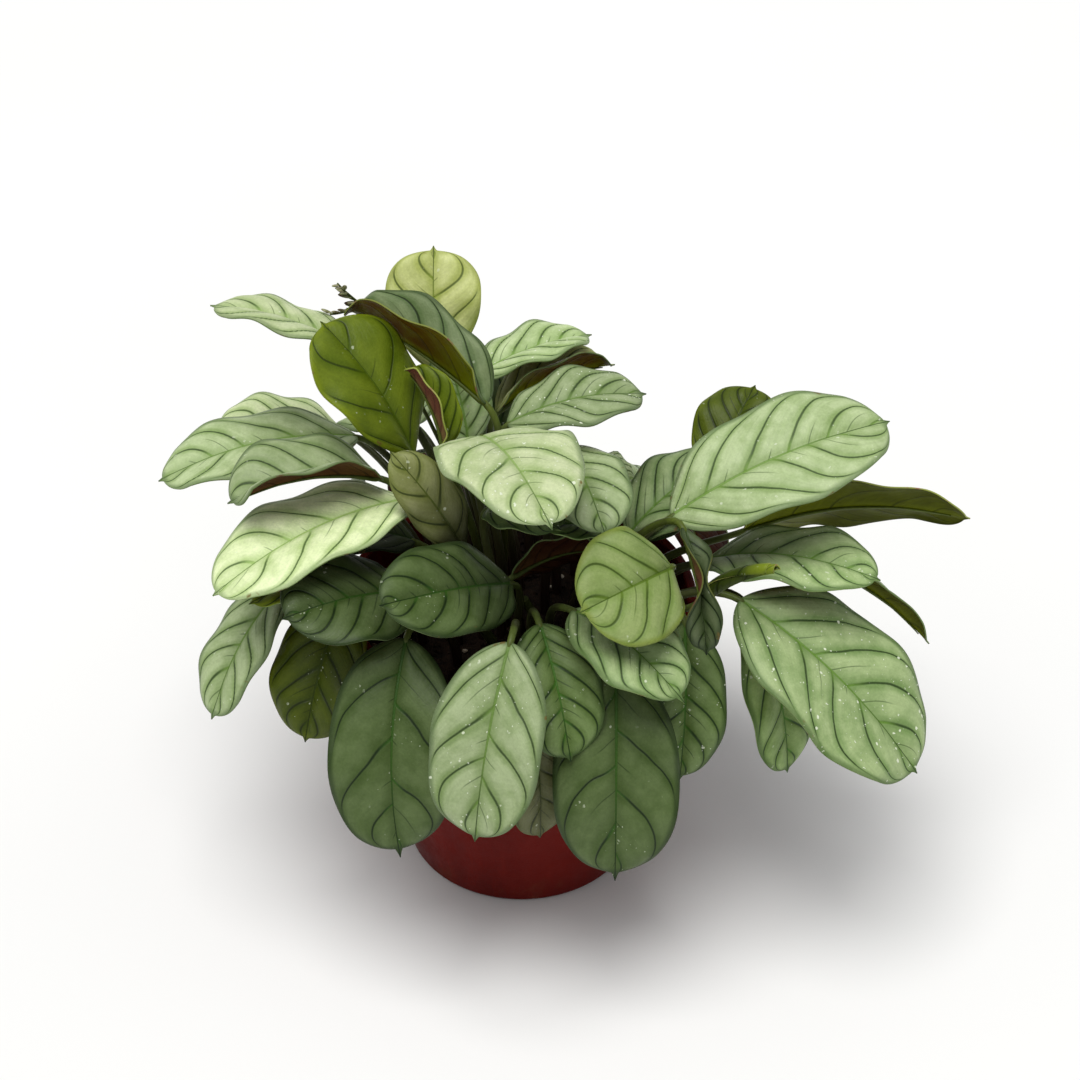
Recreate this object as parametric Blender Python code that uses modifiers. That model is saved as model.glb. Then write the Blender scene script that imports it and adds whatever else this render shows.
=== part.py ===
"""A young potted ctenanthe: a 9 cm nursery pot, its root ball, and every leaf on its own stalk.

The frame: origin at the centre of the pot's underside, +Z up, -Y towards the viewer of the photograph.
Sizes below are in millimetres and degrees, and MM turns them into Blender's metres.
"""

import math
import random
from dataclasses import dataclass

import bmesh
import bpy
from mathutils import Matrix, Vector, noise

MM = 0.001
UP = Vector((0, 0, 1))
WELD = 0.02
CUT_PAST = 2.0

# The pot: a round 9 cm nursery pot.
POT_HEIGHT = 80.0
POT_RIM_RADIUS = 45.0
POT_BASE_RADIUS = 31.0
POT_WALL = 1.4
POT_FLOOR = 2.0
COLLAR_HEIGHT = 13.0
COLLAR_STEP = 1.6
RIM_LIP = 1.2
RIM_LIP_HEIGHT = 3.0
FOOT_CHAMFER = 1.5
ROUNDING = 0.5
DRAIN_COUNT = 6
DRAIN_RADIUS = 3.5
DRAIN_RING = 21.0
DRAIN_SIDES = 12
POT_SIDES = 40

# The root ball and its bumpy top.
SOIL_TOP = 71.0
SOIL_CLEARANCE = 0.3
SOIL_SIDES = 28
SOIL_RINGS = 5
SOIL_GRAIN = 5.0
SOIL_RELIEF = 1.3
SOIL_EDGE_FLAT = 1.5
SOIL_EDGE_FADE = 4.0

# The stalks, and how they stand in the soil. A leaf below the crown's height has its foot further out.
STALK_RADIUS = 0.95
SHEATH_RADIUS = 1.4
STALK_DEPTH = 9.0
STALK_SPACING = 5.0
STALK_SPREAD = 0.42
SPREADING_ROUNDS = 80
CROWN_HEIGHT = 105.0
CROWN_DEPTH = 70.0
STALK_INNER = 3.0
STALK_OUTER = 33.0
STALK_STEPS = 5
STALK_SIDES_RESOLUTION = 0
HOLE_CLEARANCE = 0.4
HOLE_SIDES = 6
STALK_LIFT = 0.45
KNEE_REACH = 9.0
KNEE_SHARE = 0.4
STALK_SINK = 0.5
SPINDLE_STEPS = 5
SPINDLE_POINT = 0.35
SPINDLE_SKEW = 0.8
RIB_STATIONS = (0.08, 0.20)
RIB_RADIUS = 0.45
RIB_SINK = 0.25

# The blades: rows of points from base to tip, and columns from the left margin to the right.
# A blade reaches its full fold where it is a third of its width from the midrib.
BLADE_ROWS = (0.0, 0.08, 0.24, 0.45, 0.68, 0.89, 1.0)
BLADE_COLUMNS = 4
BLADE_THICKNESS = 0.8
POINT_HALF_WIDTH = 0.45
BASE_HALF_WIDTH = 1.0
MARGIN_CURL = 0.20
FOLD_START = 3.0
PINCH_PLACE = 0.45
PINCH_REACH = 0.22
WAVE_HEIGHT = 0.07
WAVES = 2.3
SEED = 7


@dataclass
class Leaf:
    """One leaf: where its blade starts and ends, its width, and how the blade is turned and curved.

    It is widest where its length's share to the power of widest is a half, and a higher shoulder makes its ends
    blunter. The pinch folds it further at its middle.
    """

    name: str
    base: tuple
    tip: tuple
    width: float
    roll: float = 0
    arch: float = 0.09
    fold: float = 14
    twist: float = 0
    sway: float = 0
    pinch: float = 0
    widest: float = 1.1
    shoulder: float = 2.3
    point: float = 1.3
    age: str = "mature"
    form: str = "open"


LEAVES = (
    Leaf("leaf_front_left", (-27, -32, 90), (-29, -59, 47), 31, sway=0.04, shoulder=2.6, point=2.4),
    Leaf("leaf_front_middle", (-2, -46, 100), (-10, -70, 62), 28, point=1.6),
    Leaf("leaf_front_slim", (5, -34, 96), (12, -56, 74), 22),
    Leaf("leaf_front_right", (23, -40, 88), (23, -64, 44), 31, point=2.4),
    Leaf("leaf_front_low", (1, -46, 87), (5, -54, 47), 18),
    Leaf("leaf_left_dark", (-27, -18, 93), (-54, -39, 102), 29, roll=-20),
    Leaf("leaf_left_inner", (-2, -14, 93), (-31, -42, 108), 25, roll=-36, arch=0.06),
    Leaf("leaf_left_hanging", (-43, -18, 90), (-52, -39, 65), 25),
    Leaf("leaf_left_outer", (-58, -10, 90), (-75, -34, 68), 22, roll=15),
    Leaf("leaf_left_under", (-34, -7, 92), (-64, -24, 95), 15),
    Leaf("leaf_left_shaded", (-27, 8, 90), (-56, 4, 95), 22),
    Leaf("leaf_left_bright", (-27, -2, 110), (-71, -32, 104), 30),
    Leaf("leaf_left_folded", (-34, 0, 115), (-68, -16, 119), 29, roll=10, fold=40),
    Leaf("leaf_left_far", (-42, 26, 110), (-89, 8, 109), 28),
    Leaf("leaf_left_back", (-48, 43, 101), (-79, 37, 105.5), 24),
    Leaf("leaf_top_left", (-39, 22, 136), (-75, 28, 147), 24, roll=14, arch=0.08),
    Leaf("leaf_top_young", (-26, 4, 119), (-47, 15, 149), 29, roll=-10, widest=1.5, age="young"),
    Leaf("leaf_top_arched", (-8, 7, 132), (-42, 31, 144), 29, roll=12, arch=0.04, fold=64, twist=-24,
         age="young"),
    Leaf("leaf_top_rolled", (-18, 0, 124), (-27, 11, 139), 17, roll=15, fold=66, age="young"),
    Leaf("leaf_top", (-22, 36, 123), (-22, 49, 151), 25, widest=1.6, age="young"),
    Leaf("leaf_top_right", (-11, 31, 125), (17, 41, 131), 24, roll=-8, arch=0.07, fold=18, shoulder=2),
    Leaf("leaf_right_high", (-3, 10, 124), (30, 16, 129), 27, shoulder=1.9),
    Leaf("leaf_right_behind", (-6, 27, 117), (23, 38, 124), 22, roll=-22, fold=42),
    Leaf("leaf_top_inner", (-13, 17, 113), (-19, 27, 135), 17),
    Leaf("leaf_middle_shaded", (-4, 36, 98), (-12, 40, 120), 19, roll=-15),
    Leaf("leaf_centre", (-9, -3, 129), (7, -46, 134), 34, widest=0.8, shoulder=1.9, point=2),
    Leaf("leaf_centre_curled", (-14, -10, 101), (-30, -7, 126), 15, roll=-40),
    Leaf("leaf_centre_dark", (-7, -10, 113), (9, -24, 117), 19),
    Leaf("leaf_centre_right", (11, 6, 120), (20, -24, 116), 22),
    Leaf("leaf_centre_pale", (17, 20, 103), (29, 19, 101), 18),
    Leaf("leaf_right_shaded", (30, 14, 86), (47, 31, 93), 20),
    Leaf("leaf_centre_grey", (27, -2, 99), (50, 10, 113), 26),
    Leaf("leaf_centre_low", (22, -12, 107), (6, -18, 113), 15),
    Leaf("leaf_centre_brown", (-2, -7, 90), (19, -1, 94), 17, roll=-65),
    Leaf("leaf_right_bright", (37, -8, 109), (89, 6, 127), 33, roll=16),
    Leaf("leaf_right_back", (50, 18, 103), (60, 36, 118), 22),
    Leaf("leaf_right_olive", (57, 10, 92), (114, 14, 93), 27, roll=-60, widest=0.65, shoulder=1.9,
         age="young"),
    Leaf("leaf_right_dark", (47, 0, 90), (86, -20, 99), 27),
    Leaf("leaf_right_large", (54, -18, 91), (96, -44, 59), 39, roll=10),
    Leaf("leaf_right_low", (57, -12, 84), (68, -26, 43), 22),
    Leaf("leaf_right_thin", (71, 8, 84), (105, 0, 64), 12, roll=-33, fold=36),
    Leaf("leaf_right_spear", (44, -21, 93), (60, -28, 108), 3.4, form="rolled", age="young"),
    Leaf("leaf_right_rolled", (39, -23, 116), (44, -41, 94), 13, roll=-2, fold=35, twist=65, pinch=50,
         age="young"),
    Leaf("leaf_right_young", (36, -29, 109), (15, -48, 111), 29, roll=-42, age="young"),
    Leaf("leaf_right_pointing", (13, -31, 98), (37, -53, 90), 26, shoulder=1.9, point=2.2),
    Leaf("leaf_right_hanging", (40, -26, 90), (39, -45, 58), 21, roll=-12),
    Leaf("leaf_back_left", (-28, 42, 103), (-46, 68, 86), 28),
    Leaf("leaf_back_middle", (3, 44, 108), (-4, 78, 90), 29),
    Leaf("leaf_back_right", (24, 32, 90), (42, 56, 75), 28, arch=0.05),
    Leaf("leaf_back_far_right", (50, 28, 92), (80, 46, 82), 25),
    Leaf("leaf_back_low_left", (-44, 28, 92), (-62, 44, 62), 26),
    Leaf("leaf_back_low_middle", (-20, 46, 94), (-26, 64, 56), 27),
    Leaf("leaf_back_low", (6, 47, 92), (8, 66, 52), 28),
    Leaf("leaf_back_low_right", (40, 30, 86), (50, 44, 56), 22),
    Leaf("flower_spike", (-38, 38, 139), (-45, 32, 151), 3.6, form="rolled", age="young"),
)


def collection(name):
    """A new collection in the scene."""
    made = bpy.data.collections.new(name)
    bpy.context.scene.collection.children.link(made)
    return made


def finish(name, colour, roughness):
    """A Principled material with one colour and roughness."""
    material = bpy.data.materials.new(name)
    material.use_nodes = True
    shader = material.node_tree.nodes["Principled BSDF"]
    shader.inputs["Base Color"].default_value = (*colour, 1)
    shader.inputs["Roughness"].default_value = roughness
    shader.inputs["Metallic"].default_value = 0
    material.diffuse_color = (*colour, 1)
    return material


def add(name, mesh, home, material=None):
    """A mesh object in a collection."""
    made = bpy.data.objects.new(name, mesh)
    home.objects.link(made)
    if material:
        mesh.materials.clear()
        mesh.materials.append(material)
    return made


def evaluated_mesh(source):
    """The mesh of an object with its modifiers, in its own space, with loose caps welded."""
    bpy.context.view_layer.update()
    graph = bpy.context.evaluated_depsgraph_get()
    mesh = bpy.data.meshes.new_from_object(source.evaluated_get(graph))
    body = bmesh.new()
    body.from_mesh(mesh)
    bmesh.ops.remove_doubles(body, verts=body.verts, dist=WELD * MM)
    body.to_mesh(mesh)
    body.free()
    return mesh


def hide_cutter(cutter):
    """Marks an object as a tool of the build and no part of the plant."""
    cutter.hide_render = True
    cutter.display_type = "WIRE"


def turned(name, profile, sides, home, material):
    """A body of revolution about Z from (radius, height) points that run up inside and down outside."""
    mesh = bpy.data.meshes.new(name)
    points = [(radius * MM, 0, height * MM) for radius, height in profile]
    edges = [(i, i + 1) for i in range(len(points) - 1)]
    mesh.from_pydata(points, edges, [])
    made = add(name, mesh, home, material)
    screw = made.modifiers.new("turn", "SCREW")
    screw.steps = sides
    screw.render_steps = sides
    screw.use_merge_vertices = True
    screw.merge_threshold = WELD * MM
    return made


def subtract(target, cutters):
    """A live Boolean difference of a whole collection of cutters."""
    cut = target.modifiers.new("cut", "BOOLEAN")
    cut.operation = "DIFFERENCE"
    cut.operand_type = "COLLECTION"
    cut.collection = cutters


def cylinder_cutter(name, centre, radius, low, high, sides, home):
    """An upright cylinder that only cuts."""
    body = bmesh.new()
    middle = Vector((centre[0], centre[1], (low + high) / 2)) * MM
    bmesh.ops.create_cone(
        body,
        cap_ends=True,
        segments=sides,
        radius1=radius * MM,
        radius2=radius * MM,
        depth=(high - low) * MM,
        matrix=Matrix.Translation(middle),
    )
    mesh = bpy.data.meshes.new(name)
    body.to_mesh(mesh)
    body.free()
    hide_cutter(add(name, mesh, home))


def pot_inner_radius(height):
    """The radius of the pot's inner wall below the collar's step."""
    share = height / (POT_HEIGHT - COLLAR_HEIGHT)
    outer = POT_BASE_RADIUS + share * (POT_RIM_RADIUS - RIM_LIP - COLLAR_STEP - POT_BASE_RADIUS)
    return outer - POT_WALL


def make_pot(home, cutters):
    """The pot: a tapered wall, a collar that steps out, a rolled lip and drain holes in a flat floor."""
    collar_low = POT_HEIGHT - COLLAR_HEIGHT
    collar_out = POT_RIM_RADIUS - RIM_LIP
    body_top = collar_out - COLLAR_STEP
    lip_low = POT_HEIGHT - RIM_LIP_HEIGHT
    profile = (
        (0, POT_FLOOR),
        (pot_inner_radius(POT_FLOOR), POT_FLOOR),
        (body_top - POT_WALL, collar_low + ROUNDING),
        (collar_out - POT_WALL, collar_low + COLLAR_STEP + ROUNDING),
        (collar_out - POT_WALL, POT_HEIGHT),
        (POT_RIM_RADIUS - ROUNDING, POT_HEIGHT),
        (POT_RIM_RADIUS, POT_HEIGHT - ROUNDING),
        (POT_RIM_RADIUS, lip_low),
        (collar_out, lip_low - ROUNDING),
        (collar_out, collar_low),
        (body_top, collar_low - ROUNDING),
        (POT_BASE_RADIUS, FOOT_CHAMFER),
        (POT_BASE_RADIUS - FOOT_CHAMFER, 0),
        (0, 0),
    )
    pot = turned("pot", profile, POT_SIDES, home, finish("terracotta plastic", (0.30, 0.07, 0.04), 0.55))
    for i in range(DRAIN_COUNT):
        angle = 2 * math.pi * i / DRAIN_COUNT
        centre = (DRAIN_RING * math.cos(angle), DRAIN_RING * math.sin(angle))
        high_end = POT_FLOOR + CUT_PAST
        cylinder_cutter(f"drain_{i}", centre, DRAIN_RADIUS, -CUT_PAST, high_end, DRAIN_SIDES, cutters)
    subtract(pot, cutters)
    return pot


def soil_height(x, y):
    """The height of the soil's bumpy top at a place, level at its edge."""
    reach = math.hypot(x, y)
    edge = pot_inner_radius(SOIL_TOP) - SOIL_EDGE_FLAT
    fade = max(0.0, min(1.0, (edge - reach) / SOIL_EDGE_FADE))
    bumps = noise.noise(Vector((x, y, 0)) / SOIL_GRAIN)
    bumps += 0.5 * noise.noise(Vector((x, y, SOIL_TOP)) * 2 / SOIL_GRAIN)
    return SOIL_TOP + SOIL_RELIEF * fade * bumps


def make_soil(home, cutters, feet):
    """The root ball: it fills the pot, its top is bumpy, and each stalk stands in a plain hole in it."""
    low = POT_FLOOR + SOIL_CLEARANCE
    bottom_radius = pot_inner_radius(low) - SOIL_CLEARANCE
    neck = POT_HEIGHT - COLLAR_HEIGHT
    neck_radius = pot_inner_radius(neck) - SOIL_CLEARANCE
    profile = [(0, low), (bottom_radius, low), (neck_radius, neck), (neck_radius, SOIL_TOP)]
    profile += [(neck_radius * (1 - i / SOIL_RINGS), SOIL_TOP) for i in range(1, SOIL_RINGS + 1)]
    profile.reverse()
    blank = turned("soil_blank", profile, SOIL_SIDES, home, None)
    mesh = evaluated_mesh(blank)
    bpy.data.objects.remove(blank)
    for vertex in mesh.vertices:
        if vertex.co.z > (SOIL_TOP - 0.1) * MM:
            vertex.co.z = soil_height(vertex.co.x / MM, vertex.co.y / MM) * MM
    soil = add("soil", mesh, home, finish("potting soil", (0.035, 0.024, 0.016), 0.95))
    for i, foot in enumerate(feet):
        radius = (SHEATH_RADIUS + HOLE_CLEARANCE) / math.cos(math.pi / HOLE_SIDES)
        low_end = SOIL_TOP - STALK_DEPTH - HOLE_CLEARANCE
        high_end = SOIL_TOP + 2 * SOIL_RELIEF + CUT_PAST
        cylinder_cutter(f"hole_{i}", foot, radius, low_end, high_end, HOLE_SIDES, cutters)
    subtract(soil, cutters)
    return soil


def chord(leaf):
    """The straight line from a blade's base to its tip, and its direction."""
    line = Vector(leaf.tip) - Vector(leaf.base)
    return line, line.normalized()


def face_direction(leaf, t):
    """The way the blade's upper face looks at a share t of its length, before the midrib's own slope."""
    forward = chord(leaf)[1]
    level = (UP - forward * UP.dot(forward)).normalized()
    turn = math.radians(leaf.roll + leaf.twist * (t - 0.5))
    return Matrix.Rotation(turn, 3, forward) @ level


def midrib_point(leaf, t):
    """The midrib: an arch over the chord, along the blade's own face direction, with a sideways sway."""
    line, forward = chord(leaf)
    face = face_direction(leaf, 0.5)
    side = forward.cross(face)
    swell = 4 * t * (1 - t) * line.length
    return Vector(leaf.base) + line * t + face * (leaf.arch * swell) + side * (leaf.sway * swell)


def midrib_axes(leaf, t):
    """Along the midrib, to its right, and out of the upper face."""
    step = 0.01
    along = (midrib_point(leaf, t + step) - midrib_point(leaf, t - step)).normalized()
    face = face_direction(leaf, t)
    face = (face - along * face.dot(along)).normalized()
    return along, along.cross(face), face


def half_width(leaf, t):
    """Half of the blade's width: an oblong with full, blunt ends."""
    share = abs(2 * min(1.0, t) ** leaf.widest - 1) ** leaf.shoulder
    return max(BASE_HALF_WIDTH, leaf.width / 2 * math.sqrt(max(0.0, 1 - share)))


def fold_angle(leaf, t):
    """How steeply each half of the blade rises from the midrib."""
    degrees = leaf.fold + leaf.pinch * math.exp(-(((t - PINCH_PLACE) / PINCH_REACH) ** 2))
    return math.radians(degrees) * min(1, FOLD_START * half_width(leaf, t) / leaf.width)


def margin_waves(leaf):
    """Where the waves of the two margins start, drawn once for each leaf from its name."""
    draw = random.Random(f"{SEED} {leaf.name}")
    return draw.random(), draw.random()


def blade_point(leaf, s, t, starts):
    """The middle surface of the blade at s from -1, left margin, to 1, right margin."""
    along, right, face = midrib_axes(leaf, t)
    half = half_width(leaf, t)
    fold = fold_angle(leaf, t)
    start = starts[0] if s < 0 else starts[1]
    wave = WAVE_HEIGHT * s * s * math.sin(2 * math.pi * (WAVES * t + start))
    lift = half * (math.sin(fold) * abs(s) - MARGIN_CURL * s * s + wave)
    return midrib_point(leaf, t) + right * (s * half * math.cos(fold)) + face * lift


def blade_sheet(leaf):
    """The blade as a thin sheet: a grid laid along the midrib, with the small point at its tip."""
    rows = len(BLADE_ROWS)
    body = bmesh.new()
    bmesh.ops.create_grid(body, x_segments=BLADE_COLUMNS, y_segments=rows, size=1)
    starts = margin_waves(leaf)
    for vertex in body.verts:
        s = vertex.co.x
        row = round((vertex.co.y + 1) / 2 * rows)
        if row < rows:
            vertex.co = blade_point(leaf, s, BLADE_ROWS[row], starts) * MM
        else:
            along, right, face = midrib_axes(leaf, 1)
            point = midrib_point(leaf, 1) + along * leaf.point + right * (s * POINT_HALF_WIDTH)
            vertex.co = point * MM
    bmesh.ops.triangulate(body, faces=body.faces)
    mesh = bpy.data.meshes.new(leaf.name)
    body.to_mesh(mesh)
    body.free()
    return mesh


def stalk_feet():
    """Where each stalk enters the soil: towards its leaf, a low leaf's further out, and none too close."""
    feet = []
    for leaf in LEAVES:
        out = Vector(leaf.base[:2])
        lowness = 1 + (CROWN_HEIGHT - leaf.base[2]) / CROWN_DEPTH
        reach = STALK_INNER + STALK_SPREAD * lowness * out.length
        feet.append(out.normalized() * min(reach, STALK_OUTER))
    for _ in range(SPREADING_ROUNDS):
        for i, one in enumerate(feet):
            for other in feet[:i]:
                apart = one - other
                if apart.length < STALK_SPACING:
                    push = apart.normalized() * (STALK_SPACING - apart.length) / 2
                    one += push
                    other -= push
        for one in feet:
            if one.length > STALK_OUTER:
                one *= STALK_OUTER / one.length
    return feet


def stalk_route(leaf, foot):
    """Points and radii of a stalk: upright in the soil, a long curve, and a short knee below the blade."""
    start = Vector((foot[0], foot[1], SOIL_TOP + 1.5 * SOIL_RELIEF))
    end = Vector(leaf.base)
    along = midrib_axes(leaf, 0)[0]
    rise = (end - start).length
    lift = start + UP * (STALK_LIFT * rise)
    knee = end - along * min(KNEE_REACH, KNEE_SHARE * rise)
    route = [(Vector((foot[0], foot[1], SOIL_TOP - STALK_DEPTH)), SHEATH_RADIUS)]
    for i in range(STALK_STEPS):
        t = i / STALK_STEPS
        point = (
            start * (1 - t) ** 3
            + lift * (3 * t * (1 - t) ** 2)
            + knee * (3 * t * t * (1 - t))
            + end * t**3
        )
        radius = SHEATH_RADIUS + (STALK_RADIUS - SHEATH_RADIUS) * min(1, 2 * t)
        route.append((point, radius))
    route.append((end - along * STALK_SINK, STALK_RADIUS))
    return route


def rib_route(leaf):
    """The stalk's thin end, which runs on under the blade as the midrib."""
    route = []
    for i, t in enumerate(RIB_STATIONS):
        share = (i + 1) / len(RIB_STATIONS)
        radius = STALK_RADIUS + (RIB_RADIUS - STALK_RADIUS) * share
        face = midrib_axes(leaf, t)[2]
        route.append((midrib_point(leaf, t) - face * RIB_SINK, radius))
    return route


def spindle_route(leaf):
    """A leaf that is still rolled, or a bud: it swells from the stalk and ends in a point."""
    route = []
    for i in range(1, SPINDLE_STEPS + 1):
        t = i / SPINDLE_STEPS
        swell = STALK_RADIUS * (1 - t) + leaf.width / 2 * math.sin(math.pi * t**SPINDLE_SKEW)
        route.append((midrib_point(leaf, t), max(SPINDLE_POINT, swell)))
    return route


def stalk_mesh(leaf, foot):
    """The stalk as a round tube that thins towards the blade."""
    route = stalk_route(leaf, foot) + (spindle_route(leaf) if leaf.form == "rolled" else rib_route(leaf))
    curve = bpy.data.curves.new("stalk", "CURVE")
    curve.dimensions = "3D"
    curve.bevel_depth = MM
    curve.bevel_resolution = STALK_SIDES_RESOLUTION
    curve.use_fill_caps = True
    spline = curve.splines.new("POLY")
    spline.points.add(len(route) - 1)
    for point, (place, radius) in zip(spline.points, route):
        point.co = (*(place * MM), 1)
        point.radius = radius
    tube = bpy.data.objects.new("stalk", curve)
    bpy.context.scene.collection.objects.link(tube)
    mesh = evaluated_mesh(tube)
    bpy.data.objects.remove(tube)
    bpy.data.curves.remove(curve)
    return mesh


def make_leaf(leaf, foot, home, material):
    """One leaf: the blade with its thickness, joined to its stalk. A rolled one is a stalk that swells."""
    if leaf.form == "rolled":
        return add(leaf.name, stalk_mesh(leaf, foot), home, material)
    blade = add(leaf.name, blade_sheet(leaf), home, material)
    skin = blade.modifiers.new("thickness", "SOLIDIFY")
    skin.thickness = BLADE_THICKNESS * MM
    skin.offset = 0
    stalk = add("stalk", stalk_mesh(leaf, foot), home)
    join = blade.modifiers.new("stalk", "BOOLEAN")
    join.operation = "UNION"
    join.object = stalk
    joined = evaluated_mesh(blade)
    blade.modifiers.clear()
    blade.data = joined
    joined.materials.clear()
    joined.materials.append(material)
    bpy.data.objects.remove(stalk)
    return blade


def main():
    """Clears the scene and builds the whole plant."""
    for old in list(bpy.data.objects):
        bpy.data.objects.remove(old)
    plant = collection("potted ctenanthe")
    pot_cutters = collection("pot cutters")
    soil_cutters = collection("soil cutters")
    feet = stalk_feet()
    greens = {
        "mature": finish("silver green leaf", (0.33, 0.47, 0.27), 0.45),
        "young": finish("young leaf", (0.38, 0.48, 0.10), 0.42),
    }
    for leaf, foot in zip(LEAVES, feet):
        make_leaf(leaf, foot, plant, greens[leaf.age])
    make_soil(plant, soil_cutters, feet)
    make_pot(plant, pot_cutters)


main()
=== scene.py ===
"""The looks of a young potted ctenanthe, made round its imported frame.

Every leaf is a fine blade on its own stalk, with the marks of its kind: dark side veins that arch forward and
run on along the margin, a silvery face, a maroon underside and white specks of dried water.
The leaf table is the part's own, in millimetres and degrees, with a finish for each leaf. MM makes metres of
these millimetres.
"""

import math
import random
from dataclasses import dataclass
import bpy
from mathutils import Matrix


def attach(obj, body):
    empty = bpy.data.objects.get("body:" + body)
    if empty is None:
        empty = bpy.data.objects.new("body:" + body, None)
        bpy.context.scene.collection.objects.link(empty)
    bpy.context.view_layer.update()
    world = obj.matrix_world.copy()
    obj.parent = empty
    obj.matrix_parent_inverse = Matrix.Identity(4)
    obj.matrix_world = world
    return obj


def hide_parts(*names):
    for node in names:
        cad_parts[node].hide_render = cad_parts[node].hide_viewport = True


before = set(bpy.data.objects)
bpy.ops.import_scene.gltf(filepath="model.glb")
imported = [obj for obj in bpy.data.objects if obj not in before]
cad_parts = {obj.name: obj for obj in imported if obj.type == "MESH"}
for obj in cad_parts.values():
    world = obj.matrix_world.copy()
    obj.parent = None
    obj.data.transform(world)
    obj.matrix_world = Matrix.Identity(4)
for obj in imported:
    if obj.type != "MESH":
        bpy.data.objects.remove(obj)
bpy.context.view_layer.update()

from types import SimpleNamespace

import bpy
import numpy as np
from mathutils import Matrix, Vector, noise

MM = 0.001
UP = Vector((0, 0, 1))
SEED = 7

# The photograph's view, and the soft light of a bright studio.
CAMERA_TARGET = Vector((0.005, 0, 0.096))
CAMERA_ELEVATION = 36.0
CAMERA_DISTANCE = 0.52
CAMERA_LENS = 69.33
LAMP_PLACE = Vector((-0.25, -0.35, 1.9))
LAMP_SPREAD = 42.0
LAMP_ENERGY = 2.4
LAMP_COLOUR = (1.0, 0.99, 0.97)
SKY_STRENGTH = 0.40
SKY_COLOUR = (0.97, 0.99, 1.0, 1)
FLOOR_SIZE = 6
FLOOR_COLOURS = ((0.89, 0.89, 0.885, 1), (0.92, 0.92, 0.915, 1))

# The pot, as in the part, with a rounder lip.
POT_HEIGHT = 80.0
POT_RIM_RADIUS = 45.0
POT_BASE_RADIUS = 31.0
POT_WALL = 1.4
POT_FLOOR = 2.0
POT_SIDES = 144
COLLAR_HEIGHT = 13.0
COLLAR_STEP = 1.6
RIM_LIP = 1.2
RIM_LIP_HEIGHT = 3.0
FOOT_CHAMFER = 1.5
DRAIN_COUNT = 6
DRAIN_RADIUS = 3.5
DRAIN_RING = 21.0
DRAIN_SIDES = 32
POT_SMOOTH_ANGLE = 38

# The soil: its top is loose, with crumbs, chips of bark and white grit on it.
SOIL_TOP = 71.0
SOIL_CLEARANCE = 0.3
SOIL_RELIEF = 1.3
SOIL_GRAIN = 5.0
SOIL_SIDES = 180
SOIL_RINGS = 40
SOIL_EDGE_FLAT = 1.5
SOIL_EDGE_FADE = 4.0
SOIL_SMOOTH_ANGLE = 50
CRUMB_RELIEF = 0.6
CRUMB_GRAINS = (1.3, 0.7)
CRUMB_COUNT = 420
CRUMB_SIZES = (0.35, 0.95)
CRUMB_LENGTHS = (1.0, 2.4)
GRIT_COUNT = 70
GRIT_SIZES = (0.45, 0.95)
GRIT_LENGTHS = (1.0, 1.3)

# The stalks, as in the part, but slimmer.
CROWN_HEIGHT = 105.0
CROWN_DEPTH = 70.0
STALK_INNER = 3.0
STALK_OUTER = 33.0
STALK_SPACING = 5.0
STALK_SPREAD = 0.42
SPREADING_ROUNDS = 80
STALK_DEPTH = 9.0
STALK_LIFT = 0.45
KNEE_REACH = 9.0
KNEE_SHARE = 0.4
SHEATH_RADIUS = 1.3
KNEE_RADIUS = 0.82
KNEE_SINK = 0.35
RIB_STATIONS = (0.06, 0.2, 0.45, 0.7, 0.94)
RIB_START_RADIUS = 0.6
RIB_END_RADIUS = 0.16
RIB_SINK = 0.55
RIB_HANDLE = 0.05
STALK_RING_SIDES = 3
STALK_RESOLUTION = 14
STALK_SAMPLES = 40
WELD_DISTANCE = 0.00001

# The blades, as in the part, with a thinner edge, a broader point and a relief between their veins.
POINT_HALF_WIDTH = 0.85
BASE_HALF_WIDTH = 1.0
MARGIN_CURL = 0.20
FOLD_START = 3.0
PINCH_PLACE = 0.45
PINCH_REACH = 0.22
WAVE_HEIGHT = 0.07
WAVES = 2.3
BLADE_THICKNESS = 0.38
BLADE_MESH = 0.72
POINT_ROWS = 4
POINT_TAPER = 1.2
END_REACH = 3
END_FADE = 9
LEAST_HALF_WIDTH = 0.06
TIP_MARGIN = 0.35
BASE_MARGIN = 0.6
QUILT_HEIGHT = 0.46
QUILT_POWER = 0.7
QUILT_RISE = 3.5
QUILT_FALL = 4
RIB_GROOVE = 0.30
RIB_GROOVE_WIDTH = 0.9
RIPPLE_HEIGHT = 0.22
RIPPLE_LENGTH = 7.0
RIPPLE_AT_RIB = 0.4
RIPPLE_AT_MARGIN = 1.6
RIPPLE_LEAST_WIDTH = 4

# The side veins. They leave the midrib at an angle, and bend forward on their way to the margin.
VEIN_ANGLE = 52.0
VEIN_BEND_POWER = 2.7
VEIN_OUTERMOST = 0.97
VEIN_UNEVENNESS = 0.022
VEIN_UNEVEN_WAVES = 1.7
RIGHT_VEIN_SHIFT = 0.44
RIGHT_VEIN_SPREAD = 0.14

# How the veins are drawn. Reaches are millimetres from a line, and ends are shares of the way to the margin.
VEIN_WANDER = 0.16
VEIN_CORE = 0.08
VEIN_INNER_REACH = 0.54
VEIN_OUTER_REACH = 0.32
VEIN_SHADE = (0.1, 1.9)
VEIN_END = (0.86, 0.965)
SHORT_VEIN_REACH = (0.05, 0.22)
SHORT_VEIN_ENDS = (0.12, 0.62)
RIB_BASE_REACH = 0.62
RIB_TIP_REACH = 0.2

# The specks in two sizes, as (places, luck that a speck needs, size), and how ragged they are.
SPECKS = ((0.46, 0.25, 0.22), (0.95, 0.3, 0.22))
SPECK_RAGGEDNESS = 1.1
SPECK_PATCHES = 0.10

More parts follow.
